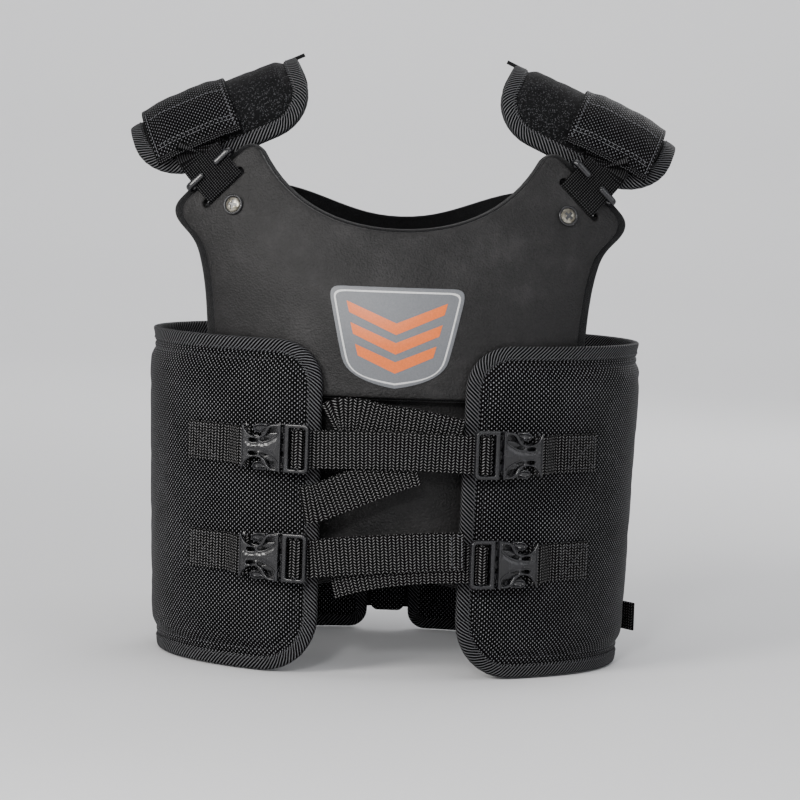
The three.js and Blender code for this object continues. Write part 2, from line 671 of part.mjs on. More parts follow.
// ---------------------------------------------------------------- shoulders
// A point on the arch over a shoulder: along runs outwards down the ridge, angle is positive to the front.
function archPoint(side, along, angle, offset) {
  const outwards = new THREE.Vector3(side * Math.cos(RIDGE_TILT), 0, -Math.sin(RIDGE_TILT));
  const up = new THREE.Vector3(side * Math.sin(RIDGE_TILT), 0, Math.cos(RIDGE_TILT));
  return new THREE.Vector3(side * RIDGE_X, RIDGE_Y, RIDGE_Z)
    .addScaledVector(outwards, along)
    .addScaledVector(up, (ARCH_HEIGHT + offset) * Math.cos(angle))
    .addScaledVector(new THREE.Vector3(0, -1, 0), (ARCH_DEPTH + offset) * Math.sin(angle));
}

function shoulderPad(side) {
  const surface = (across, angle, offset) => {
    const roundedEnds = 1 - 0.32 * Math.abs(angle / ARCH_SPAN) ** 4;
    return archPoint(side, across * roundedEnds, angle, offset);
  };
  const across = [-PAD_HALF_LENGTH, PAD_HALF_LENGTH];
  return slab(surface, 0, PAD_THICKNESS, across, [-ARCH_SPAN, ARCH_SPAN], 4, 12);
}

function sleevePanel(side, from, to, rows) {
  const surface = (across, angle, offset) => archPoint(side, across, angle, offset);
  const across = [STRAP_ALONG - SLEEVE_HALF_WIDTH, STRAP_ALONG + SLEEVE_HALF_WIDTH];
  const angles = [THREE.MathUtils.degToRad(from), THREE.MathUtils.degToRad(to)];
  return slab(surface, SLEEVE_LIFT, SLEEVE_LIFT + SLEEVE_THICKNESS, across, angles, 1, rows);
}

// The strap's route down the back plate, as distance from the middle, height and lift off the oval.
const REAR_ROUTE = [[110, 322, 6], [103, 310, 5.4], [99, 300, 5.2], [95, 290, 5.2], [90, 262, 1.2]];
const REAR_LOOP_STATION = 2;

function rearStation(side, [x, z, offset]) {
  const point = torsoPointAt(side * x, z, offset, -1);
  const across = torsoPointAt(side * x + 1, z, offset, -1).sub(point).normalize();
  return { point, across };
}

// The rear loop lies square on the strap: local Z up the webbing and -Y away from the back.
function rearLoopFrame(side) {
  const nearby = REAR_ROUTE.slice(REAR_LOOP_STATION - 1, REAR_LOOP_STATION + 2);
  const [above, here, below] = nearby.map((station) => rearStation(side, station));
  const up = above.point.clone().sub(below.point).normalize();
  const beside = here.across.clone().addScaledVector(up, -here.across.dot(up)).normalize().negate();
  const inward = new THREE.Vector3().crossVectors(up, beside);
  return new THREE.Matrix4().makeBasis(beside, inward, up).setPosition(here.point);
}

// The strap loops through the chest slot, runs up under the sleeve and down the back plate.
function shoulderStrap(side) {
  const lobe = frontLobe(side, 0);
  const slotAcross = new THREE.Vector3().setFromMatrixColumn(lobe, 0);
  const ridgeAcross = new THREE.Vector3(Math.cos(RIDGE_TILT), 0, -side * Math.sin(RIDGE_TILT));
  const behind = SHELL_THICKNESS + CHEST_FOAM + 2.8;
  const throughSlot = [[9, behind], [3, behind], [0.6, behind - 0.7], [0, behind - 2.4], [0, 1.6],
    [0.9, 0.3], [3.5, -0.1], [22, -0.1]];
  const stations = throughSlot.map(([up, inward]) => ({
    point: new THREE.Vector3(0, inward, up).applyMatrix4(lobe),
    across: slotAcross,
  }));
  for (let degrees = 60; degrees >= -60; degrees -= 10) {
    const angle = THREE.MathUtils.degToRad(degrees);
    stations.push({ point: archPoint(side, STRAP_ALONG, angle, STRAP_LIFT), across: ridgeAcross });
  }
  stations.push(...REAR_ROUTE.map((route) => rearStation(side, route)));
  return strapSolid(stations, SHOULDER_STRAP_WIDTH, WEBBING);
}

const LOOP = { front: -4.2, back: 3.8, halfLength: 20, tall: 4.5, gapWidth: 8.5, corner: 1.6 };

// A flat loop round the webbing. A split loop has two fingers in front, with a gap to slip the webbing in.
function webbingLoop(frame, split) {
  const { front, back, halfLength, tall, gapWidth, corner } = LOOP;
  const outline = roundedRectangle(halfLength, (back - front) / 2, corner, 0, (back + front) / 2);
  const inside = roundedRectangle(SHOULDER_STRAP_WIDTH / 2 + 0.7, 1.5, 0.6, 0, 0);
  outline.holes.push(inside);
  const geometry = extrude(outline, tall, 4);
  geometry.translate(0, 0, -tall / 2);
  const ring = placed(geometry, frame);
  if (!split) return ring;
  const gap = new THREE.BoxGeometry(gapWidth, 6, 2 * tall);
  gap.translate(0, front, 0);
  return ring.subtract(placed(gap, frame));
}

const LOOP_RISE = 17; // from the slot up to the split loop
for (const { name, side } of SIDES) {
  const loopFrame = frontLobe(side, 0).multiply(new THREE.Matrix4().makeTranslation(0, 0, LOOP_RISE));
  addPart(`${name}_split_loop`, webbingLoop(loopFrame, true), 'acetal');
  addPart(`${name}_shoulder_strap`, shoulderStrap(side), 'webbing');
  addPart(`${name}_shoulder_pad`, shoulderPad(side), 'neoprene');
  addPart(`${name}_sleeve_base`, sleevePanel(side, SLEEVE_ANGLES.rear, SLEEVE_ANGLES.middle, 7), 'nylon');
  addPart(`${name}_sleeve_flap`, sleevePanel(side, FLAP_ANGLES.upper, FLAP_ANGLES.lower, 6), 'nylon');
  addPart(`${name}_rear_loop`, webbingLoop(rearLoopFrame(side), false), 'acetal');
}

// ---------------------------------------------------------------- back
function backOutline(margin) {
  return mirroredOutline((shape) => {
    shape.moveTo(0, BACK_BOTTOM - margin);
    shape.lineTo(70, BACK_BOTTOM - margin);
    shape.quadraticCurveTo(90 + margin, BACK_BOTTOM - margin, 91 + margin, 95);
    shape.bezierCurveTo(96 + margin, 160, 98 + margin, 230, 118 + margin, 285);
    shape.quadraticCurveTo(124 + margin, 314 + margin, 100, 318 + margin);
    shape.bezierCurveTo(60, 318 + margin, 40, 296 + margin, 0, 296 + margin);
  });
}

const BAND_LIFT = 7; // outer face of the spine band above the oval
const BAND_HALF_ANGLE = 0.072; // radians
const BAND_RANGE = [12, 208];
const BACK_RANGE = [BACK_BOTTOM - 5, 325];
const SPINE_SCREW_HEIGHTS = [{ name: 'lower', z: 90 }, { name: 'upper', z: 195 }];
const spineFrame = (z) => torsoFrame(0, z, BAND_LIFT, -1, 0);

let backShell = torsoPlate(backOutline(0), SHELL_INNER, -PLATE_GAP, BACK_RANGE, 14, 9, -1);
let spineBand = slab(
  torsoPoint,
  -PLATE_GAP + TOUCH_GAP,
  BAND_LIFT,
  [Math.PI - BAND_HALF_ANGLE, Math.PI + BAND_HALF_ANGLE],
  BAND_RANGE,
  2,
  1,
);
for (const { name, z } of SPINE_SCREW_HEIGHTS) {
  const hole = placed(barAlongY(SCREW_SHANK + TOUCH_GAP, -5, 13), spineFrame(z));
  backShell = backShell.subtract(hole);
  spineBand = spineBand.subtract(hole);
  addPart(`${name}_spine_screw`, screwSolid(spineFrame(z), BAND_LIFT + 4), 'nickel');
}
addPart('back_shell', backShell, 'shell');
addPart('back_liner', torsoPlate(backOutline(2), FOAM_INNER, FOAM_OUTER, BACK_RANGE, 14, 9, -1), 'foam');
addPart('spine_band', spineBand, 'nylon');

// Spare waist webbing folded on the rear of the left wrap, its tip standing out at the side.
const WAIST_TAIL = { z: 28, width: 20, tip: 1.66, bend: 1.75, start: 1.85, end: 2.6 }; // angles in radians

function waistTail() {
  const { z, width, tip, bend, start, end } = WAIST_TAIL;
  const lift = WRAP_THICKNESS + 0.5 + WEBBING / 2;
  const onPlan = ({ x, y }) => new THREE.Vector2(x, y);
  const path = [onPlan(torsoPoint(tip, z, lift + 8)), onPlan(torsoPoint(bend, z, lift + 2.5))];
  for (let angle = start; angle <= end; angle += 0.12) {
    path.push(onPlan(torsoPoint(angle, z + width / 2, lift)));
  }
  return planRibbon(path, z, width);
}
addPart('left_waist_tail', waistTail(), 'webbing');

export default model;
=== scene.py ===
"""Looks for the rib and chest protector: finished shells, sewn wraps, webbing and buckles on the frame."""
import json
import math

import bmesh
import bpy
import numpy as np
from mathutils import Matrix, Vector, geometry


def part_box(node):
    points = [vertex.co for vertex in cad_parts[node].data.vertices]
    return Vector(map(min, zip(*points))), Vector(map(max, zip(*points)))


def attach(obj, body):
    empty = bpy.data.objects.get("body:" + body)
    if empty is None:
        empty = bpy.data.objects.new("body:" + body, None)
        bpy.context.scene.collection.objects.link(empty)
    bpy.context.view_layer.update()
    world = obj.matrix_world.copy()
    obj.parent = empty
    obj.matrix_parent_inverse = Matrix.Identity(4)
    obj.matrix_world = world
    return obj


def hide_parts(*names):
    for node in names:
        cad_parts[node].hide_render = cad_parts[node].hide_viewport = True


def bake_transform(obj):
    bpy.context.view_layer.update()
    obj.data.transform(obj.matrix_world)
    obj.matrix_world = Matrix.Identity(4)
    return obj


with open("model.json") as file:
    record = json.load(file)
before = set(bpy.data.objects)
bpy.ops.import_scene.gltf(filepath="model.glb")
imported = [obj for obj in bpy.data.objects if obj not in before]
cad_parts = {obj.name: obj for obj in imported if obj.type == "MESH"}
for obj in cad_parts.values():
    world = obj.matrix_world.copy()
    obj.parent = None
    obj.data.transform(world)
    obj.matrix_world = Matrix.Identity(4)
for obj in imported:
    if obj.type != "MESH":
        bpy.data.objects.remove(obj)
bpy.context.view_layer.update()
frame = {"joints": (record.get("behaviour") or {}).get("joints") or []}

MM = 0.001
JOINTS = {joint["name"]: joint for joint in frame["joints"]}
SIDES = {"right": -1, "left": 1}
ROWS = ("upper", "lower")
UP = Vector((0, 0, 1))
BACKWARDS = Vector((0, 1, 0))


def mm(*values):
    """Millimetres as a tuple of metres."""
    return tuple(value * MM for value in values)


def in_mm(points):
    """Points in millimetres as points in metres."""
    return [mm(*point) for point in points]


# ---------------------------------------------------------------- camera, floor and light
# The floor's reach and rise in metres, from its level middle to the top of its wall.
FLOOR_PROFILE = [(0.5, 0.0), (3.0, 0.0), (3.6, 0.08), (4.1, 0.35), (4.4, 0.9), (4.5, 4.5)]
FLOOR_STEPS = 64
AIM = (0, 0, 0.2)
WHITE = (1, 1, 1)
# Each light's name, place, target, size, power and colour.
LIGHTS = [
    ("key", (-1.5, -1.7, 1.1), AIM, 0.8, 50, (1.0, 0.98, 0.95)),
    ("spark", (-0.3, -2.0, 0.9), AIM, 0.22, 15, WHITE),
    ("fill", (1.6, -1.2, 0.9), AIM, 1.2, 9, (0.95, 0.97, 1.0)),
    ("top", (0.1, -0.2, 1.9), AIM, 1.4, 15, WHITE),
    ("back", (0.9, 1.5, 1.2), AIM, 1.2, 14, WHITE),
    ("front_wall", (0, -2.2, 2.6), (0, -4.6, 0.7), 2.4, 75, WHITE),
    ("rear_wall", (0, 2.2, 2.6), (0, 4.6, 0.7), 2.4, 75, WHITE),
]


def add_object(name, data):
    """A new object of some data, in the scene."""
    thing = bpy.data.objects.new(name, data)
    bpy.context.scene.collection.objects.link(thing)
    return thing


def smooth_faces(mesh):
    for polygon in mesh.polygons:
        polygon.use_smooth = True


def make_camera():
    """In front of the chest and a little above it, looking slightly down with a slight roll."""
    middle = Vector(mm(4, -125, 184))
    distance = 2.156
    pitch, roll = math.radians(4.5), math.radians(2.0)
    data = bpy.data.cameras.new("camera")
    data.angle = math.radians(13.75)
    camera = add_object("camera", data)
    away = Vector((0, -math.cos(pitch), math.sin(pitch)))
    camera.location = middle + away * distance
    aim = (-away).to_track_quat("-Z", "Y").to_matrix()
    camera.rotation_euler = (aim @ Matrix.Rotation(roll, 3, "Z")).to_euler()
    bpy.context.scene.camera = camera


def make_light(name, place, target, size, power, colour):
    """A square lamp that faces its target, with its size in metres and its power in watts."""
    data = bpy.data.lights.new(name, "AREA")
    data.size = size
    data.energy = power
    data.color = colour
    light = add_object(name, data)
    light.location = place
    light.rotation_euler = (Vector(target) - Vector(place)).to_track_quat("-Z", "Y").to_euler()


def make_floor():
    """A round pale floor whose edge curves up into a wall."""
    floor = bpy.data.meshes.new("floor")
    steps = FLOOR_STEPS
    turns = [2 * math.pi * k / steps for k in range(steps)]
    verts = [(reach * math.cos(turn), reach * math.sin(turn), rise - 1 * MM)
             for reach, rise in FLOOR_PROFILE for turn in turns]
    faces = [tuple(range(steps))]
    for ring in range(0, steps * (len(FLOOR_PROFILE) - 1), steps):
        for k in range(steps):
            near, beside = ring + k, ring + (k + 1) % steps
            faces.append((near, near + steps, beside + steps, beside))
    floor.from_pydata(verts, [], faces)
    smooth_faces(floor)
    paper = bpy.data.materials.new("studio_paper")
    paper.use_nodes = True
    shader = paper.node_tree.nodes["Principled BSDF"]
    shader.inputs["Base Color"].default_value = (0.72, 0.72, 0.73, 1)
    shader.inputs["Roughness"].default_value = 0.9
    floor.materials.append(paper)
    add_object("floor", floor)


def make_stage():
    """The floor, an even sky, and lights for the object and for the wall."""
    make_floor()
    world = bpy.data.worlds.new("studio")
    world.use_nodes = True
    world.node_tree.nodes["Background"].inputs["Color"].default_value = (0.9, 0.92, 0.95, 1)
    world.node_tree.nodes["Background"].inputs["Strength"].default_value = 0.24
    bpy.context.scene.world = world
    for light in LIGHTS:
        make_light(*light)


# ---------------------------------------------------------------- materials
class Finish:
    """A material for one of the record's slots. Its methods add nodes, and most return an output socket."""
    def __init__(self, name, slot, roughness, metallic=0.0, sheen=0.0, specular=0.5):
        self.name, self.slot = name, slot
        self.material = bpy.data.materials.new(name)
        self.material.use_nodes = True
        self.tree = self.material.node_tree
        self.shader = self.tree.nodes["Principled BSDF"].inputs
        self.shader["Roughness"].default_value = roughness
        self.shader["Metallic"].default_value = metallic
        self.shader["Sheen Weight"].default_value = sheen
        self.shader["Sheen Roughness"].default_value = 0.5
        self.shader["Specular IOR Level"].default_value = specular

    def put(self, kind, inputs=None, **settings):
        """Adds a node. Each input is a value or a socket to link, by index or name."""
        node = self.tree.nodes.new(kind)
        for key, value in settings.items():
            setattr(node, key, value)
        for key, value in (inputs or {}).items():
            if isinstance(value, bpy.types.NodeSocket):
                self.tree.links.new(value, node.inputs[key])
            else:
                node.inputs[key].default_value = value
        return node

    def maths(self, operation, first, second=0.0, third=0.0):
        return self.put("ShaderNodeMath", {0: first, 1: second, 2: third}, operation=operation).outputs[0]

    def scaled(self, value, factor, added=None):
        """A value times a factor, with another added if given."""
        if added is None:
            return self.maths("MULTIPLY", value, factor)
        return self.maths("MULTIPLY_ADD", value, factor, added)

    def between(self, value, low, high):
        """How far value has run from low to high, from 0 to 1."""
        return self.put("ShaderNodeMapRange", {0: value, 1: low, 2: high}).outputs[0]

    def texture(self, kind, scale, inputs=None, **settings):
        """A texture fixed to the object's own space, with a scale in cells per metre."""
        where = self.put("ShaderNodeTexCoord").outputs["Object"]
        return self.put(kind, {"Vector": where, "Scale": scale, **(inputs or {})}, **settings).outputs

    def noise(self, scale, detail=3.0, rough=0.55):
        return self.texture("ShaderNodeTexNoise", scale, {"Detail": detail, "Roughness": rough})["Fac"]

    def cells(self, scale, feature):
        return self.texture("ShaderNodeTexVoronoi", scale, feature=feature)["Distance"]

    def surface_uv(self):
        """The surface's two lengths in metres, from the map that every sewn or moulded piece carries."""
        uv = self.put("ShaderNodeUVMap", uv_map="surface").outputs[0]
        return self.put("ShaderNodeSeparateXYZ", {0: uv}).outputs[:2]

    def wave(self, length, value):
        """A ridge profile from 0 to 1 that repeats every length."""
        return self.scaled(self.maths("SINE", self.scaled(value, 2 * math.pi / length)), 0.5, 0.5)

    def paint(self, value, dark, light, low, high):
        """Colours the surface between dark and light as value runs from low to high."""
        colours = {"Factor": self.between(value, low, high), 6: (*dark, 1), 7: (*light, 1)}
        mix = self.put("ShaderNodeMix", colours, data_type="RGBA")
        self.tree.links.new(mix.outputs[2], self.shader["Base Color"])

    def roughen(self, value, factor, added):
        self.tree.links.new(self.scaled(value, factor, added), self.shader["Roughness"])

    def bump(self, height, depth, strength=1.0):
        node = self.put("ShaderNodeBump", {"Height": height, "Distance": depth, "Strength": strength})
        self.tree.links.new(node.outputs[0], self.shader["Normal"])


DARKEST = (0.0007, 0.0007, 0.0008)
YARN_SPECULAR = 0.04
YARN_DEPTH = 0.6 * MM


def yarn(finish, profile_axis, travel_axis, start):
    """The height of one of a plain weave's two sets of yarns, which rise and dip in turn."""
    crown = finish.maths("SINE", finish.scaled(finish.maths("FRACT", profile_axis), math.pi))
    cell = finish.maths("FLOOR", profile_axis)
    phase = finish.maths("ADD", finish.maths("ADD", travel_axis, cell), start)
    lift = finish.maths("COSINE", finish.scaled(phase, math.pi))
    return finish.scaled(crown, finish.scaled(lift, 0.5, 0.5))


def woven(name, slot, light, pitch=1.5 * MM):
    """Nylon cloth with visible yarns. The weave is real pattern, and the bright yarn crowns are painted
    highlights in its colour.
    """
    finish = Finish(name, slot, 0.5, specular=YARN_SPECULAR)
    along, across = (finish.maths("DIVIDE", part, pitch) for part in finish.surface_uv())
    weft = finish.scaled(yarn(finish, across, along, 1.0), 0.6)
    height = finish.maths("MAXIMUM", yarn(finish, along, across, 0.0), weft)
    value = finish.scaled(finish.noise(2500, 2), 0.35, finish.maths("POWER", height, 3.6))
    value = finish.scaled(finish.noise(30, 4), 0.3, value)
    # Painted highlight: the colour rises from near black to the light colour on the yarn crowns, over the
    # real weave pattern.
    finish.paint(value, DARKEST, light, 0.46, 1.35)
    finish.bump(height, YARN_DEPTH)
    return finish


def webbing(name, slot, light, rib, column=None):
    """Woven strap. With a column it is herringbone: slanted ribs that turn at each column along the length.
    Otherwise fine cords run along it. The ribs are real weave, and their bright crowns are painted
    highlights."""
    finish = Finish(name, slot, 0.55, specular=YARN_SPECULAR)
    across, along = finish.surface_uv()
    if column:
        zigzag = finish.maths("PINGPONG", along, column)
        ribs = finish.wave(rib, finish.scaled(zigzag, 0.75, across))
        turn = finish.scaled(finish.maths("DIVIDE", along, column), math.pi)
        crown = finish.maths("ABSOLUTE", finish.maths("SINE", turn))
        height = finish.scaled(ribs, finish.scaled(crown, 0.75, 0.25))
    else:
        picks = finish.wave(1.5 * MM, along)
        height = finish.scaled(picks, 0.4, finish.scaled(finish.wave(rib, across), 0.6))
    value = finish.scaled(finish.noise(1800, 2), 0.5, finish.maths("POWER", height, 3.0))
    # Painted highlight: the rib crowns take the light colour, over the real weave pattern.
    finish.paint(value, DARKEST, light, 0.38, 1.25)
    finish.bump(height, YARN_DEPTH)
    return finish


def binding_tape(name, slot):
    """Twill tape: fine diagonal ribs. The ribs are real pattern, and their bright crowns are painted
    highlights.
    """
    finish = Finish(name, slot, 0.55, specular=YARN_SPECULAR)
    across, along = finish.surface_uv()
    ribs = finish.wave(2.7 * MM, finish.maths("ADD", across, along))
    value = finish.scaled(finish.noise(1500, 2), 0.4, finish.maths("POWER", ribs, 2.6))
    # Painted highlight: the rib crowns take the pale colour, over the real twill pattern.
    finish.paint(value, DARKEST, (0.125, 0.126, 0.132), 0.32, 1.35)
    finish.bump(ribs, YARN_DEPTH)
    return finish


def grained_plastic(name, slot):
    """Moulded shell: a fine leather grain with a few pale rubs."""
    finish = Finish(name, slot, 0.5, specular=0.22)
    grain = finish.scaled(finish.noise(900, 3), 0.7, finish.cells(820.0, "SMOOTH_F1"))
    mottle = finish.noise(620, 5, 0.75)
    rub = finish.maths("POWER", finish.noise(34, 6, 0.7), 5.0)
    colours = (0.0025, 0.0024, 0.0025), (0.021, 0.0202, 0.0204)
    finish.paint(finish.scaled(rub, 3.0, mottle), *colours, 0.3, 0.9)
    finish.roughen(mottle, 0.25, 0.42)
    finish.bump(grain, 0.34 * MM)
    return finish


def fuzzy_foam(name, slot):
    """Foam or hook tape with a dull, linty face."""
    finish = Finish(name, slot, 0.95, sheen=0.1, specular=0.1)
    lint = finish.noise(900, 5, 0.8)
    finish.paint(lint, (0.0015, 0.0015, 0.0018), (0.011, 0.011, 0.012), 0.35, 0.75)
    finish.bump(lint, 0.8 * MM)
    return finish


def speckled_neoprene(name, slot):
    """A dark knit face with pale flecks."""
    finish = Finish(name, slot, 0.85, sheen=0.04, specular=0.1)
    spot = finish.between(finish.cells(900.0, "F1"), 0.42, 0.12)
    flecks = finish.scaled(spot, finish.maths("GREATER_THAN", finish.noise(420, 2), 0.47))
    value = finish.scaled(finish.noise(140, 4), 0.25, flecks)
    finish.paint(value, (0.0015, 0.0015, 0.0019), (0.060, 0.060, 0.064), 0.14, 1.1)
    finish.bump(finish.noise(1300, 3), 0.25 * MM, 0.7)
    return finish


def satin_acetal(name, slot):
    """Smooth black plastic with a soft, slightly uneven shine."""
    finish = Finish(name, slot, 0.36)
    mottle = finish.noise(90, 5, 0.6)
    finish.paint(mottle, (0.004, 0.004, 0.0048), (0.010, 0.010, 0.012), 0.3, 0.7)
    finish.roughen(mottle, 0.2, 0.17)
    finish.bump(finish.noise(1400, 3), 0.05 * MM, 0.5)
    return finish


def nickel(name, slot):
    """Plated steel with a little tarnish."""
    finish = Finish(name, slot, 0.28, metallic=1.0)
    tarnish = finish.noise(260, 4)
    finish.paint(tarnish, (0.10, 0.088, 0.062), (0.40, 0.38, 0.33), 0.3, 0.65)
    finish.roughen(tarnish, 0.3, 0.18)
    return finish


def plain_finish(name, slot, colour, roughness, spread=0.1):
    """Print or thread: one colour, a little uneven."""
    finish = Finish(name, slot, roughness)
    dark = tuple(part * (1 - spread) for part in colour)
    light = tuple(min(part * (1 + spread), 1) for part in colour)
    finish.paint(finish.noise(900, 3), dark, light, 0.3, 0.7)
    return finish


# The colour given to each woven and webbing finish is the painted highlight on its yarn crowns.
FINISHES = {finish.name: finish for finish in (
    woven("ballistic", "nylon", (0.28, 0.28, 0.295)),
    woven("sleeve_cloth", "nylon", (0.17, 0.17, 0.18)),
    binding_tape("tape", "nylon"),
    webbing("hem", "nylon", (0.11, 0.11, 0.115), 1.6 * MM, 1.6 * MM),
    webbing("herringbone", "webbing", (0.23, 0.226, 0.226), 1.9 * MM, 2.6 * MM),
    webbing("ribbed", "webbing", (0.060, 0.060, 0.062), 1.6 * MM),
    grained_plastic("plastic", "shell"),
    fuzzy_foam("foam", "foam"),
    speckled_neoprene("neoprene", "neoprene"),
    satin_acetal("acetal", "acetal"),
    nickel("nickel", "screw"),
    plain_finish("badge_grey", "badge", (0.115, 0.12, 0.13), 0.45),
    plain_finish("badge_orange", "badge", (0.62, 0.12, 0.01), 0.4),
    plain_finish("badge_white", "badge", (0.55, 0.55, 0.55), 0.45),
    plain_finish("thread", "webbing", (0.085, 0.086, 0.094), 0.6),
    plain_finish("dark_thread", "webbing", (0.028, 0.028, 0.032), 0.65),
)}


# ---------------------------------------------------------------- mesh building
def add_finish(piece, finish, crease=38):
    """Gives a piece its material and smooth faces, sharp past the crease angle."""
    piece.data.materials.clear()
    piece.data.materials.append(FINISHES[finish].material)
    smooth_faces(piece.data)
    piece.data.set_sharp_from_angle(angle=math.radians(crease))


def finish_piece(name, mesh, finish, body, replaces=(), crease=38):
    """Makes a piece of a mesh, with its material, on its body."""
    mesh.name = name
    piece = add_object(name, mesh)
    add_finish(piece, finish, crease)
    if body is not None:
        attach(piece, body)
    if replaces:
        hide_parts(*replaces)
    return piece


def signed_volume(verts, faces):
    """The volume that the faces enclose, negative where they point inwards."""
    points = np.asarray(verts, float)
    fans = np.array([(face[0], b, c) for face in faces for b, c in zip(face[1:], face[2:])])
    first, second, third = (points[fans[:, k]] for k in range(3))
    return float(np.einsum("ij,ij->i", first, np.cross(second, third)).sum()) / 6


def closed_mesh(verts, faces, corner_uvs):
    """A mesh whose faces point outwards. corner_uvs holds one (u, v) for each corner of each face."""
    verts = [tuple(v) for v in verts]
    if signed_volume(verts, faces) < 0:
        faces = [face[::-1] for face in faces]
        corner_uvs = [uvs[::-1] for uvs in corner_uvs]
    mesh = bpy.data.meshes.new("piece")
    mesh.from_pydata(verts, [], faces)
    layer = mesh.uv_layers.new(name="surface")
    flat = np.array([uv for uvs in corner_uvs for uv in uvs], np.float32)
    layer.data.foreach_set("uv", flat.ravel())
    return mesh


def joined(meshes):
    """One mesh of several."""
    whole = bmesh.new()
    for mesh in meshes:
        whole.from_mesh(mesh)
        bpy.data.meshes.remove(mesh)
    mesh = bpy.data.meshes.new("piece")
    whole.to_mesh(mesh)
    whole.free()
    return mesh


def resample(loop, spacing):
    """A closed outline with points no further apart than spacing, keeping its corners."""
    points = []
    for (x, y), (next_x, next_y) in zip(loop, loop[1:] + loop[:1]):
        steps = max(1, math.ceil(math.dist((x, y), (next_x, next_y)) / spacing))
        points += [(x + (next_x - x) * k / steps, y + (next_y - y) * k / steps) for k in range(steps)]
    return points


def edge_distance(points, loops):
    """Each point's distance to the nearest stretch of the outlines."""
    points = np.asarray(points, float)
    best = np.full(len(points), np.inf)
    for loop in loops:
        starts = np.asarray(loop, float)
        spans = np.roll(starts, -1, axis=0) - starts
        lengths = np.maximum((spans ** 2).sum(1), 1e-18)
        for start, span, length in zip(starts, spans, lengths):
            share = np.clip(((points - start) @ span) / length, 0, 1)
            gap = points - (start + share[:, None] * span)
            best = np.minimum(best, np.einsum("ij,ij->i", gap, gap))
    return np.sqrt(best)


def inward_normals(loop):
    """Unit directions into the material, for an outline that runs anticlockwise round it."""
    points = np.asarray(loop, float)
    along = np.roll(points, -1, axis=0) - np.roll(points, 1, axis=0)
    along /= np.maximum(np.linalg.norm(along, axis=1, keepdims=True), 1e-12)
    return np.stack([-along[:, 1], along[:, 0]], axis=1)


def anticlockwise(loop):
    """The loop, turned to run with its inside on the left."""
    loop = list(loop)
    area = sum(a[0] * b[1] - b[0] * a[1] for a, b in zip(loop, loop[1:] + loop[:1]))
    return loop if area > 0 else loop[::-1]


def inset(loop, distance):
    """An outline moved inwards, with as many points as before."""
    loop = anticlockwise(loop)
    return [tuple(p) for p in np.asarray(loop, float) + inward_normals(loop) * distance]


ROW_PITCH = 0.87
RING_CLEAR = 0.93


def fill_outline(outline, holes, cell, rings):
    """Points and triangles that fill an outline evenly, with close rings beside its edges."""
    outer = anticlockwise(resample(outline, cell))
    loops = [outer] + [anticlockwise(resample(hole, cell)) for hole in holes]
    points, edges, beside = [], [], []
    for loop in loops:
        base = len(points)
        points += loop
        edges += [(base + k, base + (k + 1) % len(loop)) for k in range(len(loop))]
        into = inward_normals(loop) * (1 if loop is outer else -1)
        for depth in rings:
            ring = np.asarray(loop, float) + into * depth
            keep = edge_distance(ring, loops) > depth * RING_CLEAR
            beside += [tuple(p) for p in ring[keep]]
    low, high = np.min(outer, axis=0), np.max(outer, axis=0)
    rows = int((high[1] - low[1]) / (cell * ROW_PITCH)) + 1
    columns = int((high[0] - low[0]) / cell) + 2
    grid = np.array([(low[0] + (c + 0.5 * (r % 2)) * cell, low[1] + (r + 0.5) * cell * ROW_PITCH)
                     for r in range(rows) for c in range(columns)])
    clear = (rings[-1] if rings else 0) + cell * 0.45
    grid = grid[edge_distance(grid, loops) > clear]
    points += beside + [tuple(p) for p in grid]
    result = geometry.delaunay_2d_cdt([Vector(p) for p in points], edges, [], 2, 1e-7)
    return np.array([tuple(v) for v in result[0]]), np.array([tuple(face) for face in result[2]]), loops


def inside(points, loop):
    """Which points lie within a closed loop."""
    x, y = points[:, 0], points[:, 1]
    result = np.zeros(len(points), bool)
    for (x0, y0), (x1, y1) in zip(loop, loop[1:] + loop[:1]):
        if y0 == y1:
            continue
        crossing = (y0 > y) != (y1 > y)
        result ^= crossing & (x < (x1 - x0) * (y - y0) / (y1 - y0) + x0)
    return result


def plate_mesh(outline, place, lifts, cell, rings=(), holes=()):
    """A closed sheet that fills an outline. place(s, t, lift) sets a point on its surface, and
    lifts(depths, points) gives the heights of its two faces at each point's distance from the edge."""
    flat, triangles, loops = fill_outline(outline, list(holes), cell, list(rings))
    centres = flat[triangles].mean(axis=1)
    kept = inside(centres, loops[0])
    for hole in loops[1:]:
        kept &= ~inside(centres, hole)
    used, triangles = np.unique(triangles[kept], return_inverse=True)
    flat, triangles = flat[used], triangles.reshape(-1, 3)
    first, second, third = (flat[triangles[:, k]] for k in range(3))
    turn = (second - first)[:, 0] * (third - first)[:, 1] - (second - first)[:, 1] * (third - first)[:, 0]
    triangles[turn < 0] = triangles[turn < 0][:, ::-1]
    depth = edge_distance(flat, loops)
    depth[depth < 1e-6] = 0
    low, high = lifts(depth, flat)
    count = len(flat)
    verts = [place(s, t, lift) for (s, t), lift in zip(flat, high)]
    verts += [place(s, t, lift) for (s, t), lift in zip(flat, low)]
    upper = [tuple(int(v) for v in face) for face in triangles]
    directed = {(face[i], face[(i + 1) % 3]) for face in upper for i in range(3)}
    walls = sorted((b, a, a + count, b + count) for a, b in directed if (b, a) not in directed)
    faces = upper + [tuple(v + count for v in face[::-1]) for face in upper] + walls
    uvs = np.concatenate([flat, flat])
    mesh = closed_mesh(verts, faces, [[uvs[v] for v in face] for face in faces])
    margins = mesh.attributes.new("edge_depth", "FLOAT", "POINT")
    margins.data.foreach_set("value", np.concatenate([depth, np.zeros(count)]))
    return mesh


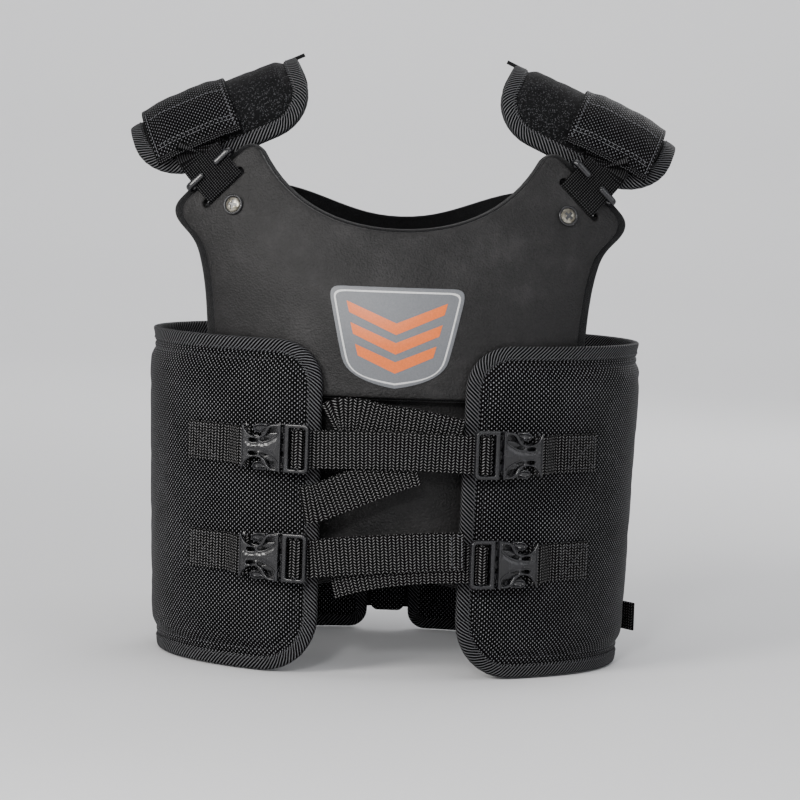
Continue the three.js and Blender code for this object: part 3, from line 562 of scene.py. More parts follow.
def rounded(low, high, radius):
    """Faces of an even plate between two heights, with rounded edges."""
    def lifts(depth, flat):
        drop = radius - np.sqrt(np.maximum(0, radius ** 2 - np.maximum(0, radius - depth) ** 2))
        return low + drop, high - drop
    return lifts


def profiled(low, high):
    """Faces that follow two lists of (depth, height) in from the edge."""
    def lifts(depth, flat):
        return tuple(np.interp(depth, *zip(*heights)) for heights in (low, high))
    return lifts


def rounding_rings(radius):
    """How far in from an edge the rings lie that draw its rounding."""
    return [radius * share for share in (0.12, 0.4, 1.0)]


def grid_mesh(rows, across, along, ring=False):
    """A mesh through rows of closed sections, which joins the last to the first or caps the ends.
    across and along are the lengths at each section point and each row, with one more where they close."""
    count, width = len(rows), len(rows[0])
    faces, uvs = [], []
    for r in range(count if ring else count - 1):
        below, above = r * width, (r + 1) % count * width
        for c in range(width):
            d = (c + 1) % width
            faces.append((below + c, below + d, above + d, above + c))
            uvs.append([(across[c], along[r]), (across[c + 1], along[r]),
                        (across[c + 1], along[r + 1]), (across[c], along[r + 1])])
    if not ring:
        for r, turn in ((0, -1), (count - 1, 1)):
            faces.append(tuple(range(r * width, (r + 1) * width))[::turn])
            uvs.append([(across[c], along[r]) for c in range(width)][::turn])
    return closed_mesh([point for row in rows for point in row], faces, uvs)


def moulded(outline, place, low, high, radius, cell, holes=()):
    """An even plate with rounded edges."""
    return plate_mesh(outline, place, rounded(low, high, radius), cell, rounding_rings(radius), holes)


def lengths(points, closed=False):
    """The distance travelled at each point, and at the return to the first on a closed line."""
    points = [Vector(p) for p in points]
    steps = [(b - a).length for a, b in zip(points, points[1:] + (points[:1] if closed else []))]
    return [0.0, *np.cumsum(steps)]


def arc_points(centre, radius, start, end, steps):
    """Points on an arc between two angles in degrees."""
    return [(centre[0] + radius * math.cos(math.radians(start + (end - start) * k / steps)),
             centre[1] + radius * math.sin(math.radians(start + (end - start) * k / steps)))
            for k in range(steps + 1)]


def rounded_box(left, low, right, high, radii, steps=8):
    """A rectangle with its own corner radius at the lower left, lower right, upper right and upper left."""
    corners = [(left, low, 1, 1, 180), (right, low, -1, 1, 270),
               (right, high, -1, -1, 0), (left, high, 1, -1, 90)]
    points = []
    for (x, y, sx, sy, start), radius in zip(corners, radii):
        if radius <= 0:
            points.append((x, y))
        else:
            points += arc_points((x + sx * radius, y + sy * radius), radius, start, start + 90, steps)
    return points


def bezier(start, first, second, end, steps=14):
    """Points on a cubic curve, without its first."""
    points = []
    for k in range(1, steps + 1):
        t = k / steps
        parts = ((1 - t) ** 3, 3 * t * (1 - t) ** 2, 3 * t * t * (1 - t), t ** 3)
        points.append(tuple(sum(w * p[axis] for w, p in zip(parts, (start, first, second, end)))
                            for axis in (0, 1)))
    return points


def grown(half, margin, curves, steps=14):
    """Adds curves to half an outline. Each of a curve's three points is (x, y) in mm and how many margins
    it moves out each way."""
    for curve in curves:
        controls = [(x * MM + a * margin, y * MM + b * margin) for x, y, a, b in curve]
        half += bezier(half[-1], *controls, steps)


def smooth_line(points, spacing, closed=False):
    """An even line of points through the given ones, of any dimension, bending smoothly."""
    stations = 12
    points = [np.asarray(p, float) for p in points]
    if closed:
        points = [points[-1], *points, points[0], points[1]]
    else:
        points = [2 * points[0] - points[1], *points, 2 * points[-1] - points[-2]]
    fine = []
    for before, start, end, after in zip(points, points[1:], points[2:], points[3:]):
        knots = [0.0]
        for a, b in ((before, start), (start, end), (end, after)):
            knots.append(knots[-1] + max(np.linalg.norm(b - a), 1e-9) ** 0.5)
        for k in range(stations):
            u = knots[1] + (knots[2] - knots[1]) * k / stations
            level = [before, start, end, after]
            for order in (1, 2):
                level = [blend_knots(level[i], level[i + 1], knots[i], knots[i + order], u)
                         for i in range(len(level) - 1)]
            fine.append(blend_knots(level[0], level[1], knots[1], knots[2], u))
    fine.append(fine[0] if closed else points[-2])
    fine = np.array(fine)
    travel = np.concatenate([[0], np.cumsum(np.linalg.norm(np.diff(fine, axis=0), axis=1))])
    count = max(2, round(travel[-1] / spacing))
    even = np.linspace(0, travel[-1], count + 1)[:-1 if closed else None]
    return np.stack([np.interp(even, travel, fine[:, axis]) for axis in range(fine.shape[1])], axis=1)


def blend_knots(first, second, start, end, u):
    """The point at u on the straight stretch between two knots."""
    return first * (end - u) / (end - start) + second * (u - start) / (end - start)


def mirrored(half):
    """A whole outline from its right half, which starts and ends on the middle line."""
    return half + [(-x, y) for x, y in half[-2:0:-1]]


def turned(points, centre, tilt):
    """A small outline about the origin, turned and moved."""
    cosine, sine = math.cos(tilt), math.sin(tilt)
    return [(centre[0] + x * cosine - y * sine, centre[1] + x * sine + y * cosine) for x, y in points]


def circle(centre, radius, steps=24):
    """An even closed outline round a point."""
    return arc_points(centre, radius, 0, 360 * (steps - 1) / steps, steps - 1)


# ---------------------------------------------------------------- the oval that plates and wraps lie on
HALF_WIDTH = 160 * MM
HALF_DEPTH = 118 * MM
HEM_TAPER = 0.046
WRAP_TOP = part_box("left_wrap")[1].z
LEAN_START = 215 * MM
LEAN_TOP = 350 * MM
LEAN_FRONT = 36 * MM
LEAN_BACK = 30 * MM
SPREAD = 45 * MM


def oval(angle, z, offset):
    """A point at an angle from the front centre, positive to the wearer's left."""
    taper = 1 - HEM_TAPER * (1 - min(z, WRAP_TOP) / WRAP_TOP)
    lean = max(0.0, (z - LEAN_START) / (LEAN_TOP - LEAN_START))
    fall = LEAN_FRONT if math.cos(angle) > 0 else LEAN_BACK
    width = HALF_WIDTH * taper + SPREAD * lean + offset
    depth = HALF_DEPTH * taper - fall * lean ** 1.6 + offset
    return Vector((width * math.sin(angle), -depth * math.cos(angle), z))


def front_surface(base, turn=0.0):
    """Places (x, z) seen from the front, raised outwards from the oval plus base."""
    def place(x, z, lift):
        width = oval(math.pi / 2, z, base).x
        return oval(turn + math.asin(max(-1.0, min(1.0, x / width))), z, base + lift)
    return place


def back_surface(base):
    """Places (x, z) seen from behind, where x runs to the wearer's right."""
    return front_surface(base, math.pi)


def surface_axes(place, s, t, lift=0.0):
    """The point on a surface, with its two directions and its normal."""
    step = 0.2 * MM
    point = place(s, t, lift)
    along = (place(s + step, t, lift) - place(s - step, t, lift)).normalized()
    up = (place(s, t + step, lift) - place(s, t - step, lift)).normalized()
    normal = along.cross(up).normalized()
    return point, along, normal.cross(along).normalized(), normal


# ---------------------------------------------------------------- plates
PLATE_GAP = 1.2 * MM
SHELL = 3 * MM
SHELL_EDGE = 1.1 * MM
FOAM = 8 * MM
BELLY_FOAM = 6 * MM
FOAM_EDGE = 2 * MM
FOAM_MARGIN = 2 * MM
TOUCH = 0.3 * MM
CHEST_BASE = -PLATE_GAP - SHELL
CHEST_FOAM_BASE = CHEST_BASE - TOUCH - FOAM
BELLY_BASE = CHEST_FOAM_BASE - 2.5 * MM - SHELL
BELLY_FOAM_BASE = BELLY_BASE - TOUCH - BELLY_FOAM
LOBE = Vector(mm(116.6, 317))
SLOT_TILT = math.radians(46)
SLOT_WIDTH = 5 * MM
SHELL_SLOT = 36 * MM
FOAM_SLOT = 30.1 * MM
SCREW_SPOT = Vector(mm(110.5, 306))
SCREW_HOLE = 2.9 * MM
SPINE_SCREW_HOLE = 2.8 * MM


def chest_outline(margin):
    """The chest plate's edge: level below, waisted at the arms, and two lobes beside the neckline."""
    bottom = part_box("chest_shell")[0].z - margin
    half = [(0, bottom), (116 * MM + margin, bottom)]
    grown(half, margin, [
        ((119, 225, 1, 0), (119, 250, 1, 0), (126, 273, 1, 0)),
        ((130, 286, 1, 0), (138, 288, 1, 0), (142, 296, 1, 0)),
        ((144, 300.5, 1, 0), (143.5, 304.5, 1, 0), (139, 309.5, 1, 0)),
        ((128, 320, 1, 1), (116, 331, 1, 1), (105, 341, 0, 1)),
        ((100, 346, 0, 1), (95, 345.5, 0, 1), (92, 340, -1, 1)),
        ((76, 311, -1, 1), (45, 292, 0, 1), (0, 292, 0, 1)),
    ])
    return mirrored(half)


def belly_outline(margin):
    """A panel with an arched lower edge."""
    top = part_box("belly_shell")[1].z
    half = [(0, 66 * MM - margin)]
    grown(half, margin, [
        ((26, 66, 0, -1), (50, 56, 0, -1), (74, 53, 0, -1)),
        ((86, 53, 0, -1), (91, 60, 1, 0), (91, 72, 1, 0)),
    ])
    return mirrored(half + [(98 * MM + margin, top), (0, top)])


def back_outline(margin):
    """The back plate's edge: rounded below, widening to the shoulder blades."""
    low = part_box("back_shell")[0].z - margin
    side = 91 * MM + margin
    half = [(0, low), (70 * MM, low)]
    half += bezier(half[-1], (83 * MM + margin, low), (side, 82 * MM), (side, 95 * MM))
    grown(half, margin, [
        ((96, 160, 1, 0), (98, 230, 1, 0), (118, 285, 1, 0)),
        ((122, 304, 1, 0), (116, 316, 0, 1), (100, 318, 0, 1)),
        ((60, 318, 0, 1), (40, 296, 0, 1), (0, 296, 0, 1)),
    ])
    return mirrored(half)


def slots(length):
    """The strap slots in the two lobes."""
    radius = SLOT_WIDTH / 2 - 0.05 * MM
    shape = rounded_box(-length / 2, -SLOT_WIDTH / 2, length / 2, SLOT_WIDTH / 2, [radius] * 4, 5)
    return [turned(shape, (side * LOBE.x, LOBE.y), -side * SLOT_TILT) for side in SIDES.values()]


def box_middle(node):
    """How high the middle of a node's box lies."""
    low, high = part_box(node)
    return (low.z + high.z) / 2


def make_plate(part, body, outline, places, thickness, cell_sizes, holes=(), foam_holes=()):
    """A moulded shell and the foam behind it. places and cell_sizes give the shell's, then the foam's."""
    shell = moulded(outline(0), places[0], 0, SHELL, SHELL_EDGE, cell_sizes[0], holes)
    finish_piece(f"{part}_plate", shell, "plastic", body, [f"{part}_shell"])
    foam = moulded(outline(FOAM_MARGIN), places[1], 0, thickness, FOAM_EDGE, cell_sizes[1], foam_holes)
    finish_piece(f"{part}_foam", foam, "foam", body, [f"{part}_liner"])


def make_plates():
    """The chest, belly and back plates, with holes where straps and screws pass through."""
    screws = [circle((side * SCREW_SPOT.x, SCREW_SPOT.y), SCREW_HOLE) for side in SIDES.values()]
    places = front_surface(CHEST_BASE), front_surface(CHEST_FOAM_BASE)
    make_plate("chest", "root", chest_outline, places, FOAM, mm(3.2, 4),
               slots(SHELL_SLOT) + screws, slots(FOAM_SLOT) + screws)
    places = front_surface(BELLY_BASE), front_surface(BELLY_FOAM_BASE)
    make_plate("belly", "belly", belly_outline, places, BELLY_FOAM, mm(3.6, 5))
    screws = [circle((0, box_middle(f"{row}_spine_screw")), SPINE_SCREW_HOLE) for row in ROWS]
    places = back_surface(CHEST_BASE), back_surface(CHEST_FOAM_BASE)
    make_plate("back", "root", back_outline, places, FOAM, mm(3.8, 5), screws)


# ---------------------------------------------------------------- sewing
STITCH = 2.5 * MM
STITCH_PITCH = 3.4 * MM
STITCH_SIDES = 5
THREAD = 0.55 * MM
SEAM_SPACING = 3 * MM


def tape_section(reach, heights, thickness, under, overhang):
    """A folded tape's closed section, as (depth, lift): over the top, round the edge and back below."""
    steps = 7
    depths = [reach * k / steps for k in range(steps, 0, -1)]
    outer = [(d, np.interp(d, *zip(*heights)) + thickness * (0.55 + 0.45 * math.sin(math.pi * d / reach)))
             for d in depths]
    top, low = outer[-1][1] - 0.3 * MM, under - thickness
    middle, half = (top + low) / 2, (top - low) / 2
    fold = [(-overhang * math.sin(turn) + 0.5 * MM, middle + half * math.cos(turn))
            for turn in np.linspace(0.35, math.pi - 0.25, 6)]
    below = [(reach * share, low) for share in (0.25, 0.9)]
    back = [(reach * 0.9, under), (0.9 * MM, under), (0.9 * MM, top - thickness)]
    return outer + fold + below + back + [(reach * 0.97, outer[0][1] - thickness)]


def edge_tape(outline, place, section):
    """Binding sewn all round an outline."""
    loop = anticlockwise(resample(outline, 2.5 * MM))
    normals = inward_normals(loop)
    rows = [[place(s + nx * d, t + ny * d, lift) for d, lift in section]
            for (s, t), (nx, ny) in zip(loop, normals)]
    across = lengths([(d, lift, 0) for d, lift in section], closed=True)
    return grid_mesh(rows, across, lengths([(s, t, 0) for s, t in loop], closed=True), ring=True)


def stitches_mesh(stitches):
    """Short beads of thread, each given as its two ends and the way up."""
    sides = STITCH_SIDES
    verts, faces = [], []
    for start, end, up in stitches:
        along = (end - start).normalized()
        beside = along.cross(up).normalized()
        base = len(verts)
        for share, size in ((0.0, 0.45), (0.5, 1.0), (1.0, 0.45)):
            middle = start.lerp(end, share)
            for k in range(sides):
                turn = 2 * math.pi * k / sides
                spread = beside * math.cos(turn) + up * math.sin(turn)
                verts.append(middle + spread * THREAD * 0.5 * size)
        for low in (base, base + sides):
            for k in range(sides):
                j = (k + 1) % sides
                faces.append((low + k, low + j, low + sides + j, low + sides + k))
        faces.append(tuple(base + k for k in range(sides))[::-1])
        faces.append(tuple(base + 2 * sides + k for k in range(sides)))
    return closed_mesh(verts, faces, [[(0, 0)] * len(face) for face in faces])


def sew(name, stitches, body, finish="dark_thread"):
    """All the stitches of a seam as one piece."""
    return finish_piece(name, stitches_mesh(stitches), finish, body)


def seam_stitches(line, place, height, closed=False):
    """Stitches along a line on a surface. height is the cloth's, or gives it at (s, t)."""
    line = list(line) + ([line[0]] if closed else [])
    travel = lengths([(s, t, 0) for s, t in line])

    def along(reach):
        return [float(np.interp(reach, travel, [p[axis] for p in line])) for axis in (0, 1)]

    stitches = []
    for k in range(int(travel[-1] / STITCH_PITCH)):
        start = k * STITCH_PITCH
        ends = []
        for reach in (start + 0.3 * MM, start + 0.3 * MM + STITCH):
            s, t = along(reach)
            lift = height(s, t) if callable(height) else height
            ends.append(place(s, t, lift + THREAD * 0.2))
        s, t = along(start)
        ends.append((place(s, t, 2 * MM) - place(s, t, 0)).normalized())
        stitches.append(ends)
    return stitches


def edge_stitches(outline, place, depth, lift):
    """A seam that follows an outline at a depth inside it."""
    return seam_stitches(inset(resample(outline, SEAM_SPACING), depth), place, lift, closed=True)


RING_REACH = 21 * MM
PUFF_FRAMES = 20
PUFF_LIMIT = 0.9 * MM
PUFF_SLACK = 0.02
PUFF_PRESSURE = 4.0


def puff(piece, seam):
    """Fills a padded piece by a cloth simulation under pressure. Points nearer the edge than the seam stay,
    and the rest move no further than PUFF_LIMIT. The piece then has one subdivision."""
    scene = bpy.context.scene
    rest = np.array([v.co for v in piece.data.vertices])
    depths = np.array([depth.value for depth in piece.data.attributes["edge_depth"].data])
    group = piece.vertex_groups.new(name="held")
    group.add([int(k) for k in np.flatnonzero(depths < seam)], 1.0, "REPLACE")
    cloth = piece.modifiers.new("cloth", "CLOTH")
    cloth.settings.quality = 4
    cloth.settings.mass = 0.2
    cloth.settings.bending_stiffness = 2.0
    cloth.settings.use_pressure = True
    cloth.settings.uniform_pressure_force = PUFF_PRESSURE
    cloth.settings.vertex_group_mass = "held"
    cloth.settings.shrink_min = -PUFF_SLACK
    cloth.settings.effector_weights.gravity = 0
    cloth.collision_settings.use_collision = False
    cloth.point_cache.frame_start = 1
    cloth.point_cache.frame_end = PUFF_FRAMES
    for number in range(1, PUFF_FRAMES + 1):
        scene.frame_set(number)
    filled = piece.evaluated_get(bpy.context.evaluated_depsgraph_get())
    shift = np.array([v.co for v in filled.data.vertices]) - rest
    size = np.linalg.norm(shift, axis=1, keepdims=True)
    shift *= np.minimum(1, PUFF_LIMIT / np.maximum(size, 1e-9))
    piece.modifiers.remove(cloth)
    piece.vertex_groups.clear()
    scene.frame_set(1)
    piece.data.vertices.foreach_set("co", (rest + shift).ravel())
    piece.modifiers.new("finer", "SUBSURF").levels = 1
    finer = bpy.data.meshes.new_from_object(piece.evaluated_get(bpy.context.evaluated_depsgraph_get()))
    piece.modifiers.clear()
    piece.data = finer


def make_padding(name, outline, place, faces, cell, finish, body, node, seam):
    """A padded piece, filled by simulation. faces are its inner and outer (depth, height) lists."""
    rings = [0.5 * MM, *(depth for depth, height in faces[1][1:] if depth < RING_REACH)]
    mesh = plate_mesh(outline, place, profiled(*faces), cell, rings)
    pad = finish_piece(name, mesh, finish, None, [node])
    puff(pad, seam)
    add_finish(pad, finish)
    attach(pad, body)


# ---------------------------------------------------------------- side wraps
ARC_ANGLES = np.linspace(0, math.pi, 400)
ARC_LENGTHS = lengths([oval(angle, WRAP_TOP / 2, 0) for angle in ARC_ANGLES])
WRAP_FRONT = math.asin(46 * MM / (HALF_WIDTH * (1 - HEM_TAPER / 2)))
WRAP_START = float(np.interp(WRAP_FRONT, ARC_ANGLES, ARC_LENGTHS))
WRAP_END = ARC_LENGTHS[-1] - 15.5 * MM
WRAP_RADII = mm(38, 12, 12, 28)
TAPE_REACH = 8.5 * MM
SEAM_DEPTH = 13.4 * MM
WRAP_HELD = 15 * MM
# A padded piece's two faces: their heights at distances in from its edge.
WRAP_INNER = in_mm([(0, 1.6), (1.5, 1.2), (16, 0.5)])
WRAP_OUTER = in_mm([(0, 3.4), (1.2, 4.7), (8.2, 5.0), (9.2, 4.5), (10.4, 5.6), (12.3, 5.7),
                    (13.4, 5.0), (14.7, 6.1), (20, 7.7), (30, 8.3)])


def arc_at(x, z, lift):
    """How far round the trunk a point lies that is x from the middle."""
    return float(np.interp(math.asin(x / oval(math.pi / 2, z, lift).x), ARC_ANGLES, ARC_LENGTHS))


def wrap_surface(s, t, lift):
    """Round the trunk from the front middle, s positive to the wearer's left, and up from the hem."""
    angle = math.copysign(float(np.interp(abs(s), ARC_LENGTHS, ARC_ANGLES)), s)
    return oval(angle, t, lift)


def make_wraps():
    """The two side wraps, each bound with tape and sewn along two lines."""
    for name, side in SIDES.items():
        body = f"{name}_wrap"
        outline = rounded_box(WRAP_START, 0.5 * MM, WRAP_END, WRAP_TOP - 0.5 * MM, WRAP_RADII)
        outline = [(side * s, t) for s, t in outline]
        make_padding(f"{name}_wrap_pad", outline, wrap_surface, (WRAP_INNER, WRAP_OUTER), 5.5 * MM,
                     "ballistic", body, body, WRAP_HELD)
        section = tape_section(TAPE_REACH, WRAP_OUTER, *mm(0.9, 1.2, 1.2))
        finish_piece(f"{name}_wrap_binding", edge_tape(outline, wrap_surface, section), "tape", body)
        rows = edge_stitches(outline, wrap_surface, TAPE_REACH - 1.6 * MM, 5.75 * MM)
        rows += edge_stitches(outline, wrap_surface, SEAM_DEPTH, 5.0 * MM)
        sew(f"{name}_wrap_stitches", rows, body)


# ---------------------------------------------------------------- buckles
# Where the top prong's joint lies in the buckle's own lengths.
SQUEEZE_POINT = mm(17.3, 6.2, 4.5)
MOUTH = 18.4 * MM
MOUTH_HALF = 15.6 * MM
PLUG_ROOT = 17 * MM
PLUG_HALF = 16 * MM
CURVE_STEP = 0.7 * MM
# Layers of a buckle: how far off the wrap each starts and ends, and the radius of its edges.
SOCKET_FACE = mm(6.6, 9.0, 0.7)
SOCKET_BACK = mm(0.2, 1.8, 0.5)
SOCKET_CHEEK = mm(1.7, 6.7, 0.05)
SOCKET_LIP = mm(6.9, 9.55, 0.45)
PLUG_BODY = mm(2.3, 7.1, 0.9)
PLUG_TONGUE = mm(3.1, 6.1, 0.5)
PRONG_PAD = mm(2.9, 7.9, 0.6)
PRONG_BAR = mm(3.1, 5.9, 0.5)
# Outlines in mm from the plug's rim and from the middle line.
SOCKET_EDGE = [(18.4, 15.3), (21.5, 15.4), (25.5, 15.0), (28.2, 13.4), (30.0, 10.4), (32.0, 7.8),
               (34.6, 6.7), (38.0, 6.8), (41.0, 8.2), (43.4, 10.8), (45.0, 14.2), (45.9, 14.6)]
SOCKET_BLOCKS = [(18.6, 13.2, 26.4, 15.0), (18.6, -15.0, 26.4, -13.2),
                 (42.6, -11.0, 45.6, -8.8), (42.6, 8.8, 45.6, 11.0)]
TEARDROP = [(21.4, 13.6), (24.2, 13.6), (26.6, 12.2), (28.2, 9.6), (29.9, 7.2), (32.6, 5.6), (32.6, 4.0),
            (28.4, 4.6), (24.6, 6.6), (21.4, 9.4)]
SMALL_SLOT = [(35.0, 5.1), (40.2, 5.4), (40.8, 4.4), (40.4, 3.5), (35.0, 3.4), (34.4, 4.2)]
FINGER_PAD = [(28.9, 12.6), (29.9, 10.8), (32.0, 9.7), (33.5, 9.4), (35.2, 9.35), (37.2, 10.2), (38.2, 11.8),
              (37.6, 13.9), (35.2, 15.1), (31.6, 15.1), (29.0, 15.0)]
PRONG_ARM = [(16.6, 6.2), (24.6, 5.4), (28.8, 5.6), (32.4, 7.4), (33.4, 9.6), (31.0, 10.4), (28.6, 9.2),
             (24.6, 9.4), (16.6, 9.6)]


class BuckleFrame:
    """One buckle's own lengths: u from the plug's rim to the socket's tail, v up and w off the wrap."""
    def __init__(self, side, row):
        self.along = -Vector(JOINTS[f"{side}_{row}_plug_release"]["axis"])
        self.out = self.along.cross(UP) * SIDES[side]
        pivot = Vector(JOINTS[f"{side}_{row}_top_squeeze"]["pos_m"])
        u, v, w = SQUEEZE_POINT
        self.origin = pivot - self.along * u - UP * v - self.out * w

    def place(self, u, v, w):
        return self.origin + self.along * u + UP * v + self.out * w


def every_buckle():
    """Each buckle's side and row."""
    return [(side, row) for side in SIDES for row in ROWS]


def flipped(outline):
    """An outline mirrored across the buckle's middle line."""
    return [(u, -v) for u, v in outline]


def smooth_loop(points):
    """A closed outline in metres through points in mm."""
    return [tuple(p) for p in smooth_line(in_mm(points), CURVE_STEP, closed=True)]


def socket_mesh(place):
    """A waisted shell with raised rims, a teardrop and a slot each side, and closed cheeks and tail."""
    edge = in_mm(SOCKET_EDGE)
    half = [edge[0], *(tuple(p) for p in smooth_line(edge[1:-1], 0.8 * MM)), edge[-1]]
    outline = half + flipped(half[::-1])
    holes = []
    for shape in (TEARDROP, SMALL_SLOT):
        holes += [smooth_loop(shape), flipped(smooth_loop(shape))]

    def faced(depth, flat):
        low, high = rounded(*SOCKET_FACE)(depth, flat)
        crown = 0.5 * MM * (1 - np.minimum(1, np.abs(flat[:, 1]) / (15 * MM)) ** 2)
        groove = np.where(depth > 1.1 * MM, -0.55 * MM, 0.0) + np.where(depth > 2.6 * MM, crown, 0.0)
        return low, high + groove

    parts = [plate_mesh(outline, place, faced, 0.9 * MM, mm(0.1, 0.35, 0.7, 1.05, 1.2), holes),
             plate_mesh(outline, place, rounded(*SOCKET_BACK), 1.6 * MM, mm(0.2, 0.5))]
    for block in SOCKET_BLOCKS:
        shape = rounded_box(*mm(*block), mm(0.5, 0.5, 0.5, 0.5), 3)
        parts.append(plate_mesh(shape, place, rounded(*SOCKET_CHEEK), 1.5 * MM))
    lip = rounded_box(MOUTH, -MOUTH_HALF, MOUTH + 1.5 * MM, MOUTH_HALF, mm(0.4, 0.4, 0.4, 0.4), 3)
    parts.append(plate_mesh(lip, place, rounded(*SOCKET_LIP), 1.2 * MM, mm(0.15, 0.45)))
    return joined(parts)


def plug_mesh(place):
    """A rounded frame with a bar for the webbing, a thick root and the middle tongue."""
    outline = rounded_box(0.0, -PLUG_HALF, PLUG_ROOT, PLUG_HALF, mm(3.4, 0.5, 0.5, 3.4), 6)
    near = rounded_box(*mm(2.4, -13.4, 6.2, 13.4), mm(1.6, 0.5, 0.5, 1.6), 4)
    far = rounded_box(*mm(8.9, -13.4, 13.6, 13.4), mm(0.5, 0.8, 0.8, 0.5), 4)

    def frame_faces(depth, flat):
        low, high = rounded(*PLUG_BODY)(depth, flat)
        bar = (flat[:, 0] > 5.9 * MM) & (flat[:, 0] < 9.2 * MM) & (np.abs(flat[:, 1]) < 13.5 * MM)
        return low, high - np.where(bar, 1.2 * MM, 0.0)

    tongue = rounded_box(PLUG_ROOT - 1 * MM, *mm(-2.6, 34, 2.6), mm(0.3, 1.2, 1.2, 0.3), 3)
    return joined([
        plate_mesh(outline, place, frame_faces, 0.9 * MM, mm(0.15, 0.45, 0.9), [near, far]),
        plate_mesh(tongue, place, rounded(*PLUG_TONGUE), 1.5 * MM, mm(0.2, 0.5)),
    ])


def prong_mesh(place, direction):
    """A curved arm inside the socket that ends in a dished finger pad at its side."""
    def line(shape):
        return smooth_loop(shape) if direction > 0 else flipped(smooth_loop(shape))

    def dished(depth, flat):
        low, high = rounded(*PRONG_PAD)(depth, flat)
        under_roof = 1.6 * MM * np.clip((34.5 * MM - flat[:, 0]) / (3.5 * MM), 0, 1)
        return low, high - under_roof - 1.3 * MM * np.clip((depth - 0.8 * MM) / (0.7 * MM), 0, 1)

    pad = plate_mesh(line(FINGER_PAD), place, dished, 0.7 * MM, mm(0.1, 0.3, 0.6, 0.8, 1.15))
    arm = plate_mesh(line(PRONG_ARM), place, rounded(*PRONG_BAR), 1.2 * MM, mm(0.2, 0.5))
    return joined([pad, arm])


def make_buckles():
    """Each buckle's socket on its wrap, its plug, and the plug's two prongs."""
    for side, row in every_buckle():
        name = f"{side}_{row}"
        place = BuckleFrame(side, row).place
        finish_piece(f"{name}_socket_body", socket_mesh(place), "acetal", f"{side}_wrap", [f"{name}_socket"])
        finish_piece(f"{name}_plug_frame", plug_mesh(place), "acetal", f"{name}_plug", [f"{name}_plug"])
        for which, direction in (("top", 1), ("bottom", -1)):
            node = f"{name}_{which}_prong"
            finish_piece(f"{name}_{which}_finger", prong_mesh(place, direction), "acetal", node, [node])


# ---------------------------------------------------------------- webbing
WEBBING = 1.6 * MM
WAIST_WIDTH = 25 * MM
STUB_LIFT = 10.3 * MM
STUB_ENDS = {"upper": 134 * MM, "lower": 131 * MM}
TAIL_TILT = (-0.42, 0.0, 0.9)
BOX_INSET = 2.2 * MM
# The way round a plug's bar, in mm from its rim and off the wrap.
PLUG_ROUTE = [(-1, 1.2), (4, 1.2), (9.8, 1.2), (10.9, 2.2), (11.0, 5.3), (10.1, 6.95), (7.6, 7.2),
              (5.2, 6.9), (4.4, 5.2), (4.4, 3.4)]
# Straps in mm: from the middle, in front of it, and up. The runs into a plug count up from its middle.
UPPER_PATH = [(0, 128.6, 1.2), (14, 128.4, 1.0), (28, 127.6, 0.6), (41, 126.6, 0.2)]
UPPER_SPARE = [(-41, 119.5, 168), (-36, 121.6, 171), (-24, 123.2, 171.5), (-6, 124.2, 168), (12, 124.4, 166),
               (30, 123.4, 163), (44, 121.6, 160)]
UPPER_TAIL = [(16, 124.6, 141), (4, 124.8, 137), (-14, 125.2, 129.5), (-34, 126.6, 121), (-48, 128.8, 115.5),
              (-57.5, 128.6, 113.5)]
LOWER_FRONT = [(-49, 126.8, 8.6), (-44, 127.6, 8.4), (-24, 128.4, 7.4), (0, 128.8, 5.6), (26, 127.8, 3.2),
               (41, 126.4, 1.4)]
LOWER_BACK = [(-37, 116, -14.5), (-33, 119.4, -12.5), (-24, 122.2, -9.5), (-8, 124.2, -5.5),
              (14, 124.8, -2.2), (34, 125.0, -0.6)]


def strap_section(width, thickness):
    """Points round a flat strap's section, as (across, lift), with rounded edges and slightly flat faces."""
    radius = thickness / 2
    reach = width / 2 - radius
    right = arc_points((reach, 0), radius, -90, 90, 4)
    left = arc_points((-reach, 0), radius, 90, 270, 4)
    top = [(reach * share, radius * 0.9) for share in (0.85, 0.0, -0.85)]
    low = [(-a, -lift) for a, lift in top]
    return right + top + left + low


def ribbon_frames(line, across, spacing=1.6 * MM):
    """Even stations along a strap, as (centre, across, outwards). across is one way or one at each point."""
    line = [Vector(p) for p in line]
    if isinstance(across, (Vector, tuple)):
        across = [Vector(across)] * len(line)
    even = smooth_line([(*p, *a) for p, a in zip(line, across)], spacing)
    centres = [Vector(row[:3]) for row in even]
    frames = []
    for k, (centre, row) in enumerate(zip(centres, even)):
        along = (centres[min(k + 1, len(centres) - 1)] - centres[max(k - 1, 0)]).normalized()
        wide = Vector(row[3:])
        wide = (wide - along * wide.dot(along)).normalized()
        frames.append((centre, wide, wide.cross(along).normalized()))
    return frames


def travelled(frames):
    """The length along a strap at each of its stations."""
    return lengths([centre for centre, wide, out in frames])


def ribbon_mesh(frames, width, thickness=WEBBING, start=0.0):
    """A strap through the stations. start is the length at which its weave begins."""
    section = strap_section(width, thickness)
    rows = [[centre + wide * a + out * lift for a, lift in section] for centre, wide, out in frames]
    across = [a for a, lift in section]
    return grid_mesh(rows, [*across, across[0]], [start + reach for reach in travelled(frames)])


def waist_strap(name, frames, body, nodes=(), start=0.0):
    """A length of 25 mm webbing."""
    return finish_piece(name, ribbon_mesh(frames, WAIST_WIDTH, start=start), "herringbone", body, nodes)


